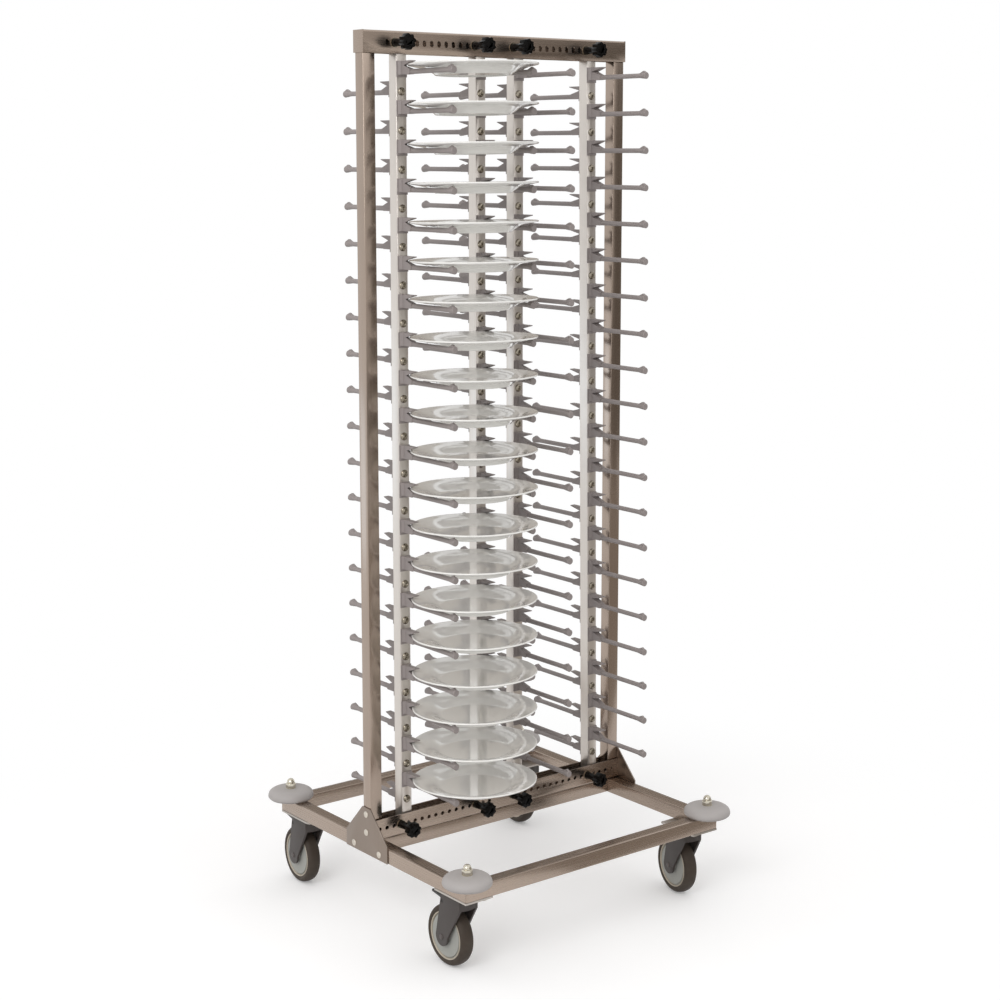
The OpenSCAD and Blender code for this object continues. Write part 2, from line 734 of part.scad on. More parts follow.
module tyre(i) {
    side = tyre_half(1);
    other = tyre_half(-1);
    color(tyre_colour) at_castor(i) at_axle() rotate_extrude($fn = 96)
        polygon(concat(side, [for (n = [len(other) - 2 : -1 : 0]) other[n]]));
}

module brake_pedal(i) {
    color(black_colour) at_castor(i) translate([0, pedal_pivot_y, pedal_pivot_z]) {
        rotate([0, 90, 0]) cylinder(h = 2 * (leg_out_x - over), r = pedal_pin_r, center = true);
        translate([-pedal_half_w, 0, 0]) rotate([90, 0, 90]) linear_extrude(2 * pedal_half_w) {
            circle(pedal_pin_r + 2 * over);
            polygon([[0, pedal_t / 2], [pedal_l, pedal_lip_h], [pedal_l, pedal_lip_h - pedal_t],
                [pedal_l / 3, -pedal_t / 2], [0, -pedal_pin_r]]);
        }
    }
}

// Half of a plate's outline, from its middle to its rim and back
module plate_outline() {
    rim_inner_z = rim_low_z - rim_rise;
    polygon([
        [0, plate_t / 2], [plate_foot_r - plate_foot_w, plate_t / 2], [plate_foot_r - plate_foot_w, 0],
        [plate_foot_r, 0], [plate_foot_r + plate_foot_w / 2, plate_t * plate_heel_share],
        [plate_well_r, rim_inner_z],
        [plate_r - rim_edge_t / 4, rim_low_z], [plate_r, rim_low_z + rim_edge_t * rim_round_share],
        [plate_r, plate_h - rim_edge_t * rim_round_share], [plate_r - rim_edge_t / 4, plate_h],
        [plate_well_r - plate_t * rim_round_share, rim_inner_z + rim_edge_t],
        [plate_foot_r, plate_t * plate_floor_share], [0, plate_t * plate_floor_share]]);
}

module plates() {
    seat_y = -tube_size / 2 - notch_seat;
    color(china_colour) for (z = front_rows()) translate([pair_mid_x, seat_y, z - rim_seat_z])
        rotate([-plate_tilt, 0, 0]) translate([0, plate_mid_y - seat_y, -rim_low_z - rim_edge_t / 2])
            rotate_extrude($fn = 96) plate_outline();
}

side_rail(-1);  // base_rail_left
side_rail(1);  // base_rail_right
end_rail(-1);  // base_rail_front
end_rail(1);  // base_rail_rear
base_cross_rail();
post(-1);  // post_left
post(1);  // post_right
bottom_channel();
top_channel();
gusset(-1);  // gusset_left
gusset(1);  // gusset_right
gusset_rivets();
castor_mounting_plates();
castor_plate_bolts();
corner_bumpers();
bumper_cap_nuts();
column_tube(0);  // column_tube_1
column_tube(1);  // column_tube_2
column_tube(2);  // column_tube_3
column_tube(3);  // column_tube_4
plate_arms(0);  // plate_arms_1
plate_arms(1);  // plate_arms_2
plate_arms(2);  // plate_arms_3
plate_arms(3);  // plate_arms_4
arm_screws();
clamp_shoes();
knob_washers();
knob(high_stud_x(0), hole_high_z);  // knob_top_1
knob(high_stud_x(1), hole_high_z);  // knob_top_2
knob(high_stud_x(2), hole_high_z);  // knob_top_3
knob(high_stud_x(3), hole_high_z);  // knob_top_4
knob(low_stud_x(0), hole_low_z);  // knob_bottom_1
knob(low_stud_x(1), hole_low_z);  // knob_bottom_2
knob(low_stud_x(2), hole_low_z);  // knob_bottom_3
knob(low_stud_x(3), hole_low_z);  // knob_bottom_4
castor_fork(0);  // castor_fork_1
castor_fork(1);  // castor_fork_2
castor_fork(2);  // castor_fork_3
castor_fork(3);  // castor_fork_4
castor_axle(0);  // castor_axle_1
castor_axle(1);  // castor_axle_2
castor_axle(2);  // castor_axle_3
castor_axle(3);  // castor_axle_4
wheel_core(0);  // wheel_core_1
wheel_core(1);  // wheel_core_2
wheel_core(2);  // wheel_core_3
wheel_core(3);  // wheel_core_4
tyre(0);  // tyre_1
tyre(1);  // tyre_2
tyre(2);  // tyre_3
tyre(3);  // tyre_4
brake_pedal(0);  // brake_pedal_1
brake_pedal(1);  // brake_pedal_2
brake_pedal(2);  // brake_pedal_3
brake_pedal(3);  // brake_pedal_4
plates();
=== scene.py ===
# A plate rack trolley: a steel base and upright frame, four clamped columns of notched arms, and
# a pair of columns that carries twenty dinner plates. Lengths are in metres, in the frame's axes.

import json
import logging
import math
from contextlib import contextmanager
from dataclasses import dataclass
from enum import Enum
from functools import cache
from typing import Callable, Iterable, Iterator, Sequence

import bmesh
import bpy
from bpy.types import ID, Material, NodeOutputs, NodeSocket, NodeTree, Object
from mathutils import Matrix, Vector

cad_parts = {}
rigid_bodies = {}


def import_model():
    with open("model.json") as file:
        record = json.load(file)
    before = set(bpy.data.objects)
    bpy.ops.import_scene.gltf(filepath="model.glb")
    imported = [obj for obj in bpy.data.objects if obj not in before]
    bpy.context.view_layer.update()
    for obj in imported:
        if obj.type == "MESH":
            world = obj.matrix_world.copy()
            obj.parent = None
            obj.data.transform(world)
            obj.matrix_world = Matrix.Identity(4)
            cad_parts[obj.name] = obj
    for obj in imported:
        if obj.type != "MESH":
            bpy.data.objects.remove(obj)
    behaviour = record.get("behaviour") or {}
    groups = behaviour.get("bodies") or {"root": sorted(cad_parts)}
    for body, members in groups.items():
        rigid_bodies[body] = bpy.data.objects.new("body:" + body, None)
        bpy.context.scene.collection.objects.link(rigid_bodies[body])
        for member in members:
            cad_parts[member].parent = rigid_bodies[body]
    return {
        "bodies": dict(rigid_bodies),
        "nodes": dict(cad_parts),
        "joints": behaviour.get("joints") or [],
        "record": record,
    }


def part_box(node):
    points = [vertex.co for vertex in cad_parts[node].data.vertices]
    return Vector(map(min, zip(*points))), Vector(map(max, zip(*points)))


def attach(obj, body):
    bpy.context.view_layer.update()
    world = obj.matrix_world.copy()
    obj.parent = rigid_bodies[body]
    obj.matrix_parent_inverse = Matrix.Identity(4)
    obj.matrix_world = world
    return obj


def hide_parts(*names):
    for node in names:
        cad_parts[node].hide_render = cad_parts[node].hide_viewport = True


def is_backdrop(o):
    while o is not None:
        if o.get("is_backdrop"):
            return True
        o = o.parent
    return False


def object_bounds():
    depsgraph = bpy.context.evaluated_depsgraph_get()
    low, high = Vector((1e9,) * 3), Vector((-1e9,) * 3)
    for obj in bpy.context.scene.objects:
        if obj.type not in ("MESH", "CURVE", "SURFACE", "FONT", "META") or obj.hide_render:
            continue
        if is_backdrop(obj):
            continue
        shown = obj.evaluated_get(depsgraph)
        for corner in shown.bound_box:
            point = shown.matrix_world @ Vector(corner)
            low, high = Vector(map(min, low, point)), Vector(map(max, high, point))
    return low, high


log = logging.getLogger("plate_rack")

Colour = tuple[float, float, float]
Pairs = Sequence[tuple[float, float]]

DUST = (0.42, 0.38, 0.33, 1.0)
# Rows of arms on each face of a column, and the height from row to row.
ROWS, PITCH = 20, 0.077
# Steps round small, middling and wide turned pieces.
SMALL_TURN, MIDDLE_TURN, WIDE_TURN = 32, 64, 96
# How near two points count as one.
SAME_POINT = 1e-6
# Fold angles, in degrees, up to which a surface is flat and from which an edge is rounded.
FLAT_ANGLE, FOLD_ANGLE = 0.5, 50.0
ROOT = "root"


class Run(Enum):
    """The way along which a piece of metal was drawn or brushed, as noise stretch per axis."""

    ACROSS = (3.0, 420.0, 420.0)
    DEEP = (420.0, 3.0, 420.0)
    UPRIGHT = (420.0, 420.0, 3.0)
    ROUND = (60.0, 60.0, 60.0)


def moved(x: float, y: float, z: float) -> Matrix:
    """Gives a move."""
    return Matrix.Translation((x, y, z))


def spun(angle: float, axis: str) -> Matrix:
    """Gives a turn about an axis, by an angle in radians."""
    return Matrix.Rotation(angle, 4, axis)


def linked(name: str, data: ID) -> Object:
    """Makes an object of a mesh, a lamp's or a camera's data in the scene.

    Args:
        name: The object's name.
        data: Its data.

    Returns:
        The object.
    """
    made = bpy.data.objects.new(name, data)
    bpy.context.scene.collection.objects.link(made)
    return made


def clear_selection() -> None:
    """Leaves edit mode and deselects every object."""
    if bpy.context.object is not None and bpy.context.object.mode != "OBJECT":
        bpy.ops.object.mode_set(mode="OBJECT")
    bpy.ops.object.select_all(action="DESELECT")


def activate(piece: Object) -> None:
    """Makes one object the only selected and the active one.

    Args:
        piece: The object to work on next.
    """
    clear_selection()
    piece.select_set(True)
    bpy.context.view_layer.objects.active = piece


@contextmanager
def editing(piece: Object, kind: str = "VERT") -> Iterator[None]:
    """Opens a piece in edit mode with nothing selected, and closes it again.

    Args:
        piece: The object to edit.
        kind: Which elements are selected: VERT, EDGE or FACE.
    """
    activate(piece)
    bpy.ops.object.mode_set(mode="EDIT")
    bpy.ops.mesh.select_mode(type=kind)
    bpy.ops.mesh.select_all(action="DESELECT")
    yield
    bpy.ops.object.mode_set(mode="OBJECT")


def pick_verts(piece: Object, test: Callable[[Vector], bool]) -> None:
    """Selects the vertices whose place passes a test, in edit mode.

    Args:
        piece: The object in edit mode.
        test: Says of a vertex's place whether it is selected.
    """
    mesh = bmesh.from_edit_mesh(piece.data)
    for vert in mesh.verts:
        vert.select_set(test(vert.co))
    mesh.select_flush(True)
    bmesh.update_edit_mesh(piece.data)


def pick_ends(piece: Object, way: int = 1, reach: float = 1.0) -> None:
    """Selects the flat faces of an end, in edit mode.

    Args:
        piece: The object in edit mode.
        way: 1 for faces that look up, -1 for faces that look down.
        reach: How far from the Z axis their middles may lie.
    """
    mesh = bmesh.from_edit_mesh(piece.data)
    mesh.normal_update()
    for face in mesh.faces:
        flat = face.normal.z * way > 0.9
        face.select_set(flat and face.calc_center_median().xy.length < reach)
    bmesh.update_edit_mesh(piece.data)


def pick_sharp_edges(piece: Object, shortest: float, angle: float) -> int:
    """Selects the folds of a mesh that are long enough to be rounded, in edit mode.

    Args:
        piece: The object in edit mode.
        shortest: Length from which an edge counts.
        angle: Fold angle, in degrees, from which an edge counts.

    Returns:
        How many edges are selected.
    """
    mesh = bmesh.from_edit_mesh(piece.data)
    limit = math.radians(angle)
    for edge in mesh.edges:
        folded = len(edge.link_faces) == 2 and edge.calc_face_angle(0.0) > limit
        edge.select_set(folded and edge.calc_length() > shortest)
    bmesh.update_edit_mesh(piece.data)
    return sum(edge.select for edge in mesh.edges)


def step_end(piece: Object, steps: Pairs, way: int = 1) -> None:
    """Insets the end of a piece in steps.

    Args:
        piece: The piece.
        steps: Width and height of each step.
        way: 1 for its upper end, -1 for its lower end.
    """
    with editing(piece, "FACE"):
        pick_ends(piece, way)
        for width, height in steps:
            bpy.ops.mesh.inset(thickness=width, depth=height)


def smooth(piece: Object, angle: float = 35.0) -> None:
    """Shades a piece smooth except over folds sharper than an angle in degrees."""
    activate(piece)
    bpy.ops.object.shade_smooth_by_angle(angle=math.radians(angle))


def rounded(piece: Object, width: float, segments: int, angle: float) -> None:
    """Rounds a piece's sharp edges with an applied bevel and shades it smooth.

    Args:
        piece: The object to round.
        width: Width of the rounding.
        segments: Steps in the rounding.
        angle: Fold angle, in degrees, from which an edge is rounded.
    """
    activate(piece)
    bevel = piece.modifiers.new("rounding", "BEVEL")
    bevel.width = width
    bevel.segments = segments
    bevel.limit_method = "ANGLE"
    bevel.angle_limit = math.radians(angle)
    bpy.ops.object.modifier_apply(modifier=bevel.name)
    smooth(piece)


def turned(name: str, outline: Pairs, steps: int, angle: float, closed: bool = True) -> Object:
    """Turns an outline about the Z axis, as on a lathe, and shades it.

    Args:
        name: Name of the new piece.
        outline: Radius and height of each point, in order.
        steps: Steps round the turn.
        angle: Fold angle, in degrees, that stays sharp; 0 leaves every face flat.
        closed: Whether the outline's last point joins its first.

    Returns:
        The turned piece.
    """
    clear_selection()
    bpy.ops.mesh.primitive_plane_add(size=0.001)
    piece = bpy.context.object
    piece.name = piece.data.name = name
    with editing(piece):
        bpy.ops.mesh.select_all(action="SELECT")
        bpy.ops.mesh.merge(type="CENTER")
        radius, height = outline[0]
        bpy.ops.transform.translate(value=(radius, 0.0, height))
        points = list(outline[1:]) + ([outline[0]] if closed else [])
        for next_radius, next_height in points:
            step = (next_radius - radius, 0.0, next_height - height)
            bpy.ops.mesh.extrude_region_move(TRANSFORM_OT_translate={"value": step})
            radius, height = next_radius, next_height
        bpy.ops.mesh.select_all(action="SELECT")
        bpy.ops.mesh.remove_doubles(threshold=SAME_POINT)
        bpy.ops.mesh.spin(steps=steps, angle=math.tau, center=(0, 0, 0), axis=(0, 0, 1))
        bpy.ops.mesh.select_all(action="SELECT")
        bpy.ops.mesh.remove_doubles(threshold=SAME_POINT)
        bpy.ops.mesh.normals_make_consistent(inside=False)
    if angle:
        smooth(piece, angle)
    return piece


def drum(name: str, sides: int, radius: float, depth: float) -> Object:
    """Adds a drum on the XY plane that stands along +Z, as the start of a piece.

    Args:
        name: Name of the new piece.
        sides: How many sides it has.
        radius: Its radius over the corners.
        depth: Its height.

    Returns:
        The new piece.
    """
    clear_selection()
    middle = (0, 0, depth / 2)
    bpy.ops.mesh.primitive_cylinder_add(vertices=sides, radius=radius, depth=depth, location=middle)
    piece = bpy.context.object
    piece.name = piece.data.name = name
    bpy.ops.object.transform_apply(location=True)
    return piece


def mirrored(half: Pairs) -> list[tuple[float, float]]:
    """Completes an outline with its mirror image below the plane at height 0."""
    return [*half, *((radius, -height) for radius, height in reversed(half))]


def placed(piece: Object, place: Matrix) -> Object:
    """Moves a piece's mesh, so that its object stays at the origin.

    Args:
        piece: The piece to move.
        place: Where its mesh goes.

    Returns:
        The same piece.
    """
    piece.data.transform(place)
    piece.data.update()
    return piece


def copies(model: Object, name: str, places: Iterable[Matrix]) -> Object:
    """Copies a model to many places, joins the copies to one piece and removes the model.

    Args:
        model: The piece that repeats.
        name: Name of the joined piece.
        places: Where each copy goes.

    Returns:
        The joined piece.
    """
    made = [placed(linked(name, model.data.copy()), place) for place in places]
    bpy.data.objects.remove(model)
    activate(made[0])
    for copy in made[1:]:
        copy.select_set(True)
    bpy.ops.object.join()
    made[0].name = made[0].data.name = name
    return made[0]


class Nodes:
    """A node tree under construction."""

    def __init__(self, tree: NodeTree) -> None:
        """Takes a tree to build in."""
        self.tree = tree

    def node(self, kind: str, settings: dict | None = None, **links: object) -> NodeOutputs:
        """Adds a node and feeds its inputs.

        Args:
            kind: The node's type without the ShaderNode prefix.
            settings: Properties of the node.
            links: Sockets or values by input name, with _ for a blank, or n0, n1 by index.

        Returns:
            The new node's outputs.
        """
        node = self.tree.nodes.new(f"ShaderNode{kind}")
        for name, value in (settings or {}).items():
            setattr(node, name, value)
        for name, value in links.items():
            by_index = len(name) < 4 and name[0] == "n" and name[1:].isdigit()
            socket = node.inputs[int(name[1:]) if by_index else name.replace("_", " ")]
            if isinstance(value, NodeSocket):
                self.tree.links.new(value, socket)
            else:
                socket.default_value = value
        return node.outputs

    def math(self, operation: str, *values: object) -> NodeSocket:
        """Works out a value from sockets or numbers."""
        inputs = {f"n{index}": value for index, value in enumerate(values)}
        return self.node("Math", {"operation": operation}, **inputs)[0]

    def noise(self, place: NodeSocket, **settings: object) -> NodeSocket:
        """Adds a noise that runs from 0 to 1, with settings by input name."""
        return self.node("TexNoise", Vector=place, **settings)[0]

    def mix(self, share: object, first: object, second: object) -> NodeSocket:
        """Mixes two shaders by the share of the second."""
        return self.node("MixShader", n0=share, n1=first, n2=second)[0]


class Effect(Nodes):
    """A shader node group under construction."""

    def __init__(self, name: str, inputs: dict[str, str], outputs: dict[str, str]) -> None:
        """Makes an empty group.

        Args:
            name: The group's name.
            inputs: Socket type of each input.
            outputs: Socket type of each output.
        """
        super().__init__(bpy.data.node_groups.new(name, "ShaderNodeTree"))
        for way, sockets in (("INPUT", inputs), ("OUTPUT", outputs)):
            for socket, kind in sockets.items():
                self.tree.interface.new_socket(socket, in_out=way, socket_type=f"NodeSocket{kind}")
        self.given = self.tree.nodes.new("NodeGroupInput").outputs
        self.result = self.tree.nodes.new("NodeGroupOutput").inputs

    def finished(self, **results: NodeSocket) -> NodeTree:
        """Links the group's outputs.

        Args:
            results: What each output gives.

        Returns:
            The node group.
        """
        for name, socket in results.items():
            self.tree.links.new(socket, self.result[name])
        return self.tree


@cache
def brush_lines() -> NodeTree:
    """Brush lines along a run, and wide soft clouds of another tone.

    Returns:
        The node group.
    """
    effect = Effect(
        "brush_lines", {"Place": "Vector", "Stretch": "Vector"}, {"Lines": "Float", "Clouds": "Float"}
    )
    place, stretch = effect.given["Place"], effect.given["Stretch"]
    along = effect.node("VectorMath", {"operation": "MULTIPLY"}, n0=place, n1=stretch)[0]
    return effect.finished(
        Lines=effect.noise(along, Scale=1.0, Detail=3.0, Roughness=0.65),
        Clouds=effect.noise(place, Scale=5.0, Detail=1.0),
    )


@cache
def tone_change() -> NodeTree:
    """Makes a colour lighter and darker by a mask that runs from 0 to 1.

    Returns:
        The node group.
    """
    effect = Effect(
        "tone_change", {"Colour": "Color", "Mask": "Float", "Spread": "Float"}, {"Colour": "Color"}
    )
    centred = effect.math("SUBTRACT", effect.given["Mask"], 0.5)
    scale = effect.math("MULTIPLY_ADD", centred, effect.given["Spread"], 1.0)
    toned = effect.node("VectorMath", {"operation": "SCALE"}, n0=effect.given["Colour"], Scale=scale)
    return effect.finished(Colour=toned[0])


@cache
def moulded_skin() -> NodeTree:
    """The fine skin of a moulding and its faint blotches.

    Returns:
        The node group.
    """
    effect = Effect(
        "moulded_skin", {"Place": "Vector", "Fineness": "Float"}, {"Height": "Float", "Blotches": "Float"}
    )
    place = effect.given["Place"]
    return effect.finished(
        Height=effect.noise(place, Scale=effect.given["Fineness"], Detail=2.0),
        Blotches=effect.noise(place, Scale=28.0, Detail=2.0),
    )


@cache
def floor_dust() -> NodeTree:
    """Dust that gathers towards the floor.

    Returns:
        The node group.
    """
    effect = Effect(
        "floor_dust",
        {"Place": "Vector", "Colour": "Color", "Dust": "Color", "Top": "Float", "Amount": "Float"},
        {"Colour": "Color"},
    )
    place, top = effect.given["Place"], effect.given["Top"]
    height = effect.node("SeparateXYZ", Vector=place)["Z"]
    low = effect.node("MapRange", Value=height, From_Min=0.0, From_Max=top, To_Min=1.0, To_Max=0.0)
    mask = effect.math("MULTIPLY", low[0], effect.noise(place, Scale=45.0, Detail=4.0))
    share = effect.math("MULTIPLY", mask, effect.given["Amount"])
    mixed = effect.node(
        "Mix", {"data_type": "RGBA"}, Factor=share, n6=effect.given["Colour"], n7=effect.given["Dust"]
    )
    return effect.finished(Colour=mixed[2])


class Shader(Nodes):
    """A material under construction round one Principled shader."""

    def __init__(self, name: str) -> None:
        """Makes the material.

        Args:
            name: The material's name.
        """
        self.material = bpy.data.materials.new(name)
        self.material.use_nodes = True
        super().__init__(self.material.node_tree)
        self.surface = self.tree.nodes["Principled BSDF"]
        self.place = self.node("TexCoord")["Object"]

    def fix(self, **constants: object) -> None:
        """Sets what is the same all over the surface, by socket name with _ for a blank."""
        for socket, value in constants.items():
            self.surface.inputs[socket.replace("_", " ")].default_value = value

    def effect(self, group: NodeTree, **links: object) -> NodeOutputs:
        """Adds a shared effect, with sockets or values by input name, and gives its outputs."""
        return self.node("Group", {"node_tree": group}, **links)

    def tinted(self, colour: object, mask: NodeSocket, spread: float) -> NodeSocket:
        """Makes a colour lighter and darker by a mask from 0 to 1."""
        return self.effect(tone_change(), Colour=colour, Mask=mask, Spread=spread)["Colour"]

    def feed(self, socket: str, value: NodeSocket) -> None:
        """Links a value to one of the surface's sockets."""
        self.tree.links.new(value, self.surface.inputs[socket])

    def roughen(self, mask: NodeSocket, middle: float, spread: float) -> None:
        """Lets the roughness follow a mask, by a spread to each side of its middle."""
        rough = self.node("MapRange", Value=mask, To_Min=middle - spread, To_Max=middle + spread)
        self.feed("Roughness", rough[0])

    def bump(self, height: NodeSocket, depth: float, strength: float) -> None:
        """Gives the surface a relief from a height between 0 and 1."""
        relief = self.node("Bump", Height=height, Distance=depth, Strength=strength)
        self.feed("Normal", relief["Normal"])


@dataclass(frozen=True)
class Finish:
    """What a piece is made of.

    Attributes:
        name: The material's name.
        slot: The record's material slot; not used.
        colour: Its colour.
    """

    name: str
    slot: str
    colour: Colour

    def cover(self, shader: Shader) -> None:
        """Sets up the shader, each kind of finish in its own way."""
        raise NotImplementedError

    @cache
    def material(self) -> Material:
        """Builds the material, once for all its pieces.

        Returns:
            The material.
        """
        shader = Shader(self.name)
        self.cover(shader)
        return shader.material


@dataclass(frozen=True)
class BrushedMetal(Finish):
    """Metal with brush or draw lines along its run.

    Attributes:
        run: The way of the lines.
        roughness: Its middle roughness.
        clouds: How far its tone drifts.
        lines: How strongly its lines show.
        metallic: How far it is bare metal; less for an anodised one.
    """

    run: Run
    roughness: float = 0.33
    clouds: float = 0.22
    lines: float = 0.12
    metallic: float = 1.0

    def cover(self, shader: Shader) -> None:
        """Lays the brush lines and the clouds."""
        shader.fix(Metallic=self.metallic)
        brush = shader.effect(brush_lines(), Place=shader.place, Stretch=self.run.value)
        clouded = shader.tinted((*self.colour, 1.0), brush["Clouds"], self.clouds)
        shader.feed("Base Color", shader.tinted(clouded, brush["Lines"], self.lines))
        shader.roughen(brush["Lines"], self.roughness, spread=0.07)
        shader.bump(brush["Lines"], depth=0.0001, strength=0.1)


@dataclass(frozen=True)
class Moulding(Finish):
    """A moulded plastic or rubber.

    Attributes:
        roughness: Its roughness.
        skin: How strongly its skin's grain shows.
        blotches: How far its tone drifts.
        coat: Weight of a glossy coat.
        dust: How much dust lies on its lowest part.
        shine: Level of its plain reflection.
    """

    roughness: float = 0.5
    skin: float = 0.15
    blotches: float = 0.12
    coat: float = 0.0
    dust: float = 0.0
    shine: float = 0.5

    def cover(self, shader: Shader) -> None:
        """Lays the skin, the blotches and the dust."""
        shader.fix(Coat_Weight=self.coat, Coat_Roughness=0.08, Specular_IOR_Level=self.shine)
        grain = shader.effect(moulded_skin(), Place=shader.place, Fineness=900.0)
        colour = shader.tinted((*self.colour, 1.0), grain["Blotches"], self.blotches)
        if self.dust:
            colour = shader.effect(
                floor_dust(), Place=shader.place, Colour=colour, Dust=DUST, Top=0.2, Amount=self.dust
            )["Colour"]
        shader.feed("Base Color", colour)
        shader.roughen(grain["Blotches"], self.roughness, spread=0.06)
        shader.bump(grain["Height"], depth=0.0002, strength=self.skin)


@dataclass(frozen=True)
class Porcelain(Finish):
    """Glazed white porcelain."""

    def cover(self, shader: Shader) -> None:
        """Lays the glaze and its faint blotches."""
        shader.fix(Coat_Weight=1.0, Coat_Roughness=0.02, Roughness=0.1)
        grain = shader.effect(moulded_skin(), Place=shader.place, Fineness=60.0)
        shader.feed("Base Color", shader.tinted((*self.colour, 1.0), grain["Blotches"], 0.03))


STEEL: Colour = (0.385, 0.312, 0.260)
STEEL_ACROSS = BrushedMetal("steel_across", "frame_steel", STEEL, Run.ACROSS, 0.27)
STEEL_DEEP = BrushedMetal("steel_deep", "frame_steel", STEEL, Run.DEEP, 0.27)
STEEL_UPRIGHT = BrushedMetal("steel_upright", "frame_steel", STEEL, Run.UPRIGHT, 0.2, 0.25)
STEEL_SHEET = BrushedMetal("steel_sheet", "frame_steel", (0.27, 0.222, 0.187), Run.UPRIGHT, 0.3)
COLUMN_METAL = BrushedMetal(
    "column_metal", "column_aluminium", (0.68, 0.635, 0.59), Run.UPRIGHT, 0.33, 0.12, metallic=0.9
)
# Brass of the screw heads and knob washers: a real brass tone, darkened as painted shade of recesses and
# washers and as painted reflection of a dark studio.
SHADED_SCREW_METAL = BrushedMetal("screw_metal_painted_shade", "bright_fasteners", (0.31, 0.275, 0.22), Run.ROUND, 0.15, 0.2, 0.1)
NUT_METAL = BrushedMetal("nut_metal", "bright_fasteners", (0.60, 0.56, 0.47), Run.ROUND, 0.1, 0.1, 0.05)
AXLE_CAP = BrushedMetal("axle_cap", "bright_fasteners", (0.12, 0.105, 0.10), Run.ROUND, 0.4, 0.2, 0.1)
RIVET_METAL = BrushedMetal("rivet_metal", "zinc_steel", (0.62, 0.57, 0.50), Run.ROUND, 0.45, 0.2, 0.1)
ZINC = BrushedMetal("zinc_plate", "zinc_steel", (0.50, 0.465, 0.43), Run.ROUND, 0.45, 0.3, 0.1)
ARM_PLASTIC = Moulding("arm_plastic", "arm_plastic", (0.285, 0.250, 0.242), 0.48)
KNOB_PLASTIC = Moulding(
    "knob_plastic", "knob_plastic", (0.0035, 0.003, 0.0028), 0.14, 0.03, 0.2, coat=0.02, shine=0.1
)
SHOE_PLASTIC = Moulding("shoe_plastic", "shoe_plastic", (0.010, 0.010, 0.010), 0.5)
BUMPER_RUBBER = Moulding("bumper_rubber", "bumper_rubber", (0.40, 0.375, 0.365), 0.55, 0.2, 0.1)
FORK_PLASTIC = Moulding("fork_plastic", "fork_plastic", (0.045, 0.036, 0.033), 0.46, 0.25, 0.15, dust=0.05)
CORE_PLASTIC = Moulding("core_plastic", "core_plastic", (0.34, 0.345, 0.32), 0.5, 0.2, 0.12, dust=0.2)
# The wheel ring's pale colour is a painted highlight on the tyre's lip; the dust on its lowest part is real.
RING_PAINTED_HIGHLIGHT = Moulding("ring_painted_highlight", "core_plastic", (0.50, 0.44, 0.35), 0.5, 0.1, 0.12, dust=0.3)
TYRE_RUBBER = Moulding(
    "tyre_rubber", "tyre_rubber", (0.040, 0.028, 0.020), 0.6, 0.3, 0.25, dust=0.12, shine=0.25
)
PEDAL_PLASTIC = Moulding("pedal_plastic", "pedal_plastic", (0.020, 0.018, 0.017), 0.42, 0.2, 0.15, dust=0.1)
CHINA = Porcelain("china_glaze", "china", (0.86, 0.85, 0.82))


class Workshop:
    """Holds the loaded frame and registers finished pieces."""

    def __init__(self) -> None:
        """Loads the frame."""
        self.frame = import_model()
        self.first_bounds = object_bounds()

    def dress(self, node: str, finish: Finish) -> None:
        """Gives a CAD node a finish.

        Args:
            node: The node's name.
            finish: The finish.
        """
        mesh = self.frame["nodes"][node].data
        if not mesh.materials:
            mesh.materials.append(finish.material())
        for index in range(len(mesh.materials)):
            mesh.materials[index] = finish.material()

    def add(self, piece: Object, body: str, finish: Finish, *nodes: str) -> None:
        """Registers a finished piece: its finish, its body and the nodes it stands for.

        Args:
            piece: The piece.
            body: The body it rides on.
            finish: Its finish.
            nodes: The CAD nodes it replaces.
        """
        piece.data.materials.clear()
        piece.data.materials.append(finish.material())
        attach(piece, body)
        if nodes:
            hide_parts(*nodes)
        log.info("%s: %d faces on %s", piece.name, len(piece.data.polygons), body)

    def soften(self, node: str, body: str, finish: Finish, width: float, shortest: float = 0.02) -> None:
        """Replaces a CAD node by a copy with rounded folds, as drawn tube and bent sheet have them.

        Args:
            node: The node's name.
            body: The body it rides on.
            finish: Its finish.
            width: Width of the rounding.
            shortest: Length from which a fold is rounded.
        """
        clear_selection()
        piece = linked(f"{node}_soft", self.frame["nodes"][node].data.copy())
        activate(piece)
        if piece.data.has_custom_normals:
            bpy.ops.mesh.customdata_custom_splitnormals_clear()
        with editing(piece, "EDGE"):
            bpy.ops.mesh.select_all(action="SELECT")
            bpy.ops.mesh.remove_doubles(threshold=SAME_POINT)
            bpy.ops.mesh.dissolve_limited(angle_limit=math.radians(FLAT_ANGLE))
            bpy.ops.mesh.select_all(action="DESELECT")
            if pick_sharp_edges(piece, shortest, FOLD_ANGLE):
                bpy.ops.mesh.bevel(offset=width, offset_type="OFFSET", segments=3, clamp_overlap=True)
        smooth(piece)
        self.add(piece, body, finish, node)


@dataclass
class Assembly:
    """A part of the rack.

    Attributes:
        shop: The workshop that builds it.
    """

    shop: Workshop


@dataclass
class BaseAndUprights(Assembly):
    """The square base, the two posts, both channels and the gusset plates.

    Attributes:
        tube_rounding: Outer rounding of the drawn tubes.
        sheet_rounding: Rounding of cut sheet.
    """

    tube_rounding: float = 0.0016
    sheet_rounding: float = 0.0008

    def build(self) -> None:
        """Rounds the tubes and the sheets and gives each its steel."""
        tube, sheet = self.tube_rounding, self.sheet_rounding
        for rounding, finish, nodes in (
            (tube, STEEL_DEEP, ("base_rail_left", "base_rail_right")),
            (tube, STEEL_ACROSS, ("base_rail_front", "base_rail_rear", "base_cross_rail")),
            (tube, STEEL_UPRIGHT, ("post_left", "post_right")),
            (sheet, STEEL_ACROSS, ("bottom_channel", "top_channel")),
            (sheet, STEEL_SHEET, ("gusset_left", "gusset_right")),
        ):
            for node in nodes:
                self.shop.soften(node, ROOT, finish, rounding)


